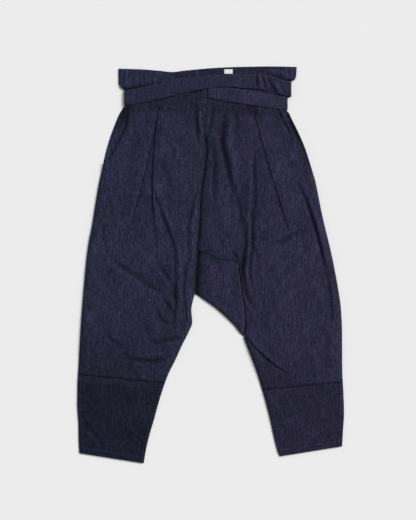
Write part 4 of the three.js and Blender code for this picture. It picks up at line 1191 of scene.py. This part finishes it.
def tie(name, rows, under, nodes, turned="", slant=0.0, cols=90, pale=1.0, first=-999):
    """A stretch of the tie. A turned end goes over the side of the waist and down towards the table, `slant`
    cuts its right end at an angle, and `first` is where it starts if that is past the table's first row."""
    upper, lower = table_line(rows, 1), table_line(rows, 2)
    x0, x1 = max(rows[0][0], first), rows[-1][0]

    def place(across, down):
        x = x0 + (x1 - x0) * across
        z = under(x) + TIE_THICK
        y = upper(x) + (lower(x) - upper(x)) * down
        from_end = {"left": x - x0, "right": x1 - x}.get(turned, np.full(len(x), TURN_DROP))
        end = 1 - np.clip(from_end / TURN_DROP, 0, 1)
        floor = TIE_STEP + 0.1
        bent = 1 - np.sqrt(np.clip(1 - end ** 6, 0, 1))
        z = z - np.where(end > 0, (z - floor) * bent + 0.6 * end ** 2, 0)
        x = x - slant * (1 - down) * soft_step(across, 0.5, 1)
        edge = np.minimum(down, 1 - down) * TIE_WIDTH
        plump = 0.35 * rolled_edge(edge, 1.6) + 0.3 * soft_step(edge, 3.2, 5.5)
        soft = fold_field(x, y, TIE_CREASES) + 0.3 * rumple(x, y, 1, x0)
        # painted shade and highlight on its creases, a painted highlight along its edges and painted shade
        # along its stitched rows
        tone = relief_shade(1.8 * soft) * line_tone(edge, 1.2, 0.3) * line_tone(edge - 3.5, 1.2, -0.12)
        if name == "tie_lower_run":  # painted shadow where it comes out of the loop
            tone = tone * line_tone(x - LOOP[1] - 2, 2.4, -0.8)
        return x, y, np.maximum(z - 0.5 + plump + np.where(end > 0.2, 0, soft), floor), tone * pale

    return cloth_piece(name, cols, 24, place, tie_denim, nodes, thick=TIE_THICK - 0.4)


def tie_stitches(piece, rows):
    """The rows of stitches along a stretch's two edges."""
    lines = []
    for column, inset in ((1, -3), (2, 3)):
        edge = table_line(rows, column)
        lines.append([(x, float(edge(x)) + inset) for x in np.linspace(rows[0][0] + 5, rows[-1][0] - 4, 80)])
    return stitches(f"{piece.name}_stitches", piece, lines, pitch=3.6, length=2.6)


runs = [
    (tie("tie_across_back", TIE_BACK, on_table, ["tie_back"], cols=100), TIE_BACK, 0.393),
    (tie("tie_end_tab", TIE_ANCHOR, on_table, ["tie_anchor"], cols=20), TIE_ANCHOR, 0.046),
    (tie("tie_lower_run", TIE_LOWER, under_lower, ["tie_lower"], turned="right", pale=1.14, first=-15),
     TIE_LOWER, 0.2),
    (tie("tie_upper_run", TIE_UPPER, under_upper, ["tie_upper"], turned="right", cols=130), TIE_UPPER, 0.32),
    (tie("tie_left_run", TIE_LEFT, under_left, ["tie_left"], turned="left", slant=9, pale=0.97),
     TIE_LEFT, 0.13)]
for piece, rows, length in runs:
    tie_stitches(piece, rows)

# ---- The loop at the centre front ----
# A narrow strip of denim that the lower stretch of the tie passes under. It is sewn down along its sides and
# its lower end.
LOOP_TOP, LOOP_FOOT = 418.2, 386.2
LOOP_MIDDLE = -16.0  # the place across where the tie's height under it is read


def loop_place(across, down):
    """It lies over the tie at its upper end and on the waistband below it."""
    x = LOOP[0] + (LOOP[1] - LOOP[0]) * across
    y = LOOP_TOP + (LOOP_FOOT - LOOP_TOP) * down
    high = under_lower(np.full(len(x), LOOP_MIDDLE)) + TIE_THICK + 1.3
    low = BAND_BODY + over_tie(x, y) + 1.5
    edge = np.minimum(across, 1 - across) * (LOOP[1] - LOOP[0])
    raised = soft_step(y, 396, 399.5) * soft_step(x, LOOP[0] - 2, LOOP[0] + 11)
    return x, y, low + (high - low) * raised - 0.9 * (1 - rolled_edge(edge, 2.5))


loop = cloth_piece("tie_keeper_loop", 14, 40, loop_place, tie_denim, ["tie_loop"], thick=1.0)
left, right, top, foot = LOOP[0] + 2, LOOP[1] - 2, 416, 388
rows = [[(left, top), (left, foot)], [(right, foot), (right, top)], [(left, foot + 0.5), (right, foot + 0.5)]]
sewing = stitches("loop_stitches", loop, rows, pitch=3.4, length=2.6, wide=0.9)

# ---- The label ----
# A blank white woven tape, tacked at its two ends inside the back of the waist.
LABEL_WHITE = (0.80, 0.83, 0.76)
LABEL_WIDE, LABEL_TALL = 20.4, 10.8
LABEL_LEFT, LABEL_TOP = 32.4, 467.9
label_tape = plain_material("label_tape", LABEL_WHITE, 0.7)[0]


def label_place(across, down):
    """It lies on the back of the waistband, bowed up a little between its ends."""
    x = LABEL_LEFT + LABEL_WIDE * across
    y = LABEL_TOP - LABEL_TALL * down
    return x, y, 2.3 + 0.25 * np.sin(across * 3.1)


label = cloth_piece("waist_label", 12, 8, label_place, label_tape, ["size_label"], thick=0.4)
tacks = [[(x, LABEL_TOP - 1.3), (x, LABEL_TOP - LABEL_TALL + 1.3)]
         for x in (LABEL_LEFT + 1.2, LABEL_LEFT + LABEL_WIDE - 1.2)]
sewing = stitches("label_stitches", label, tacks, label_tape, pitch=2, length=1.5, wide=0.4)
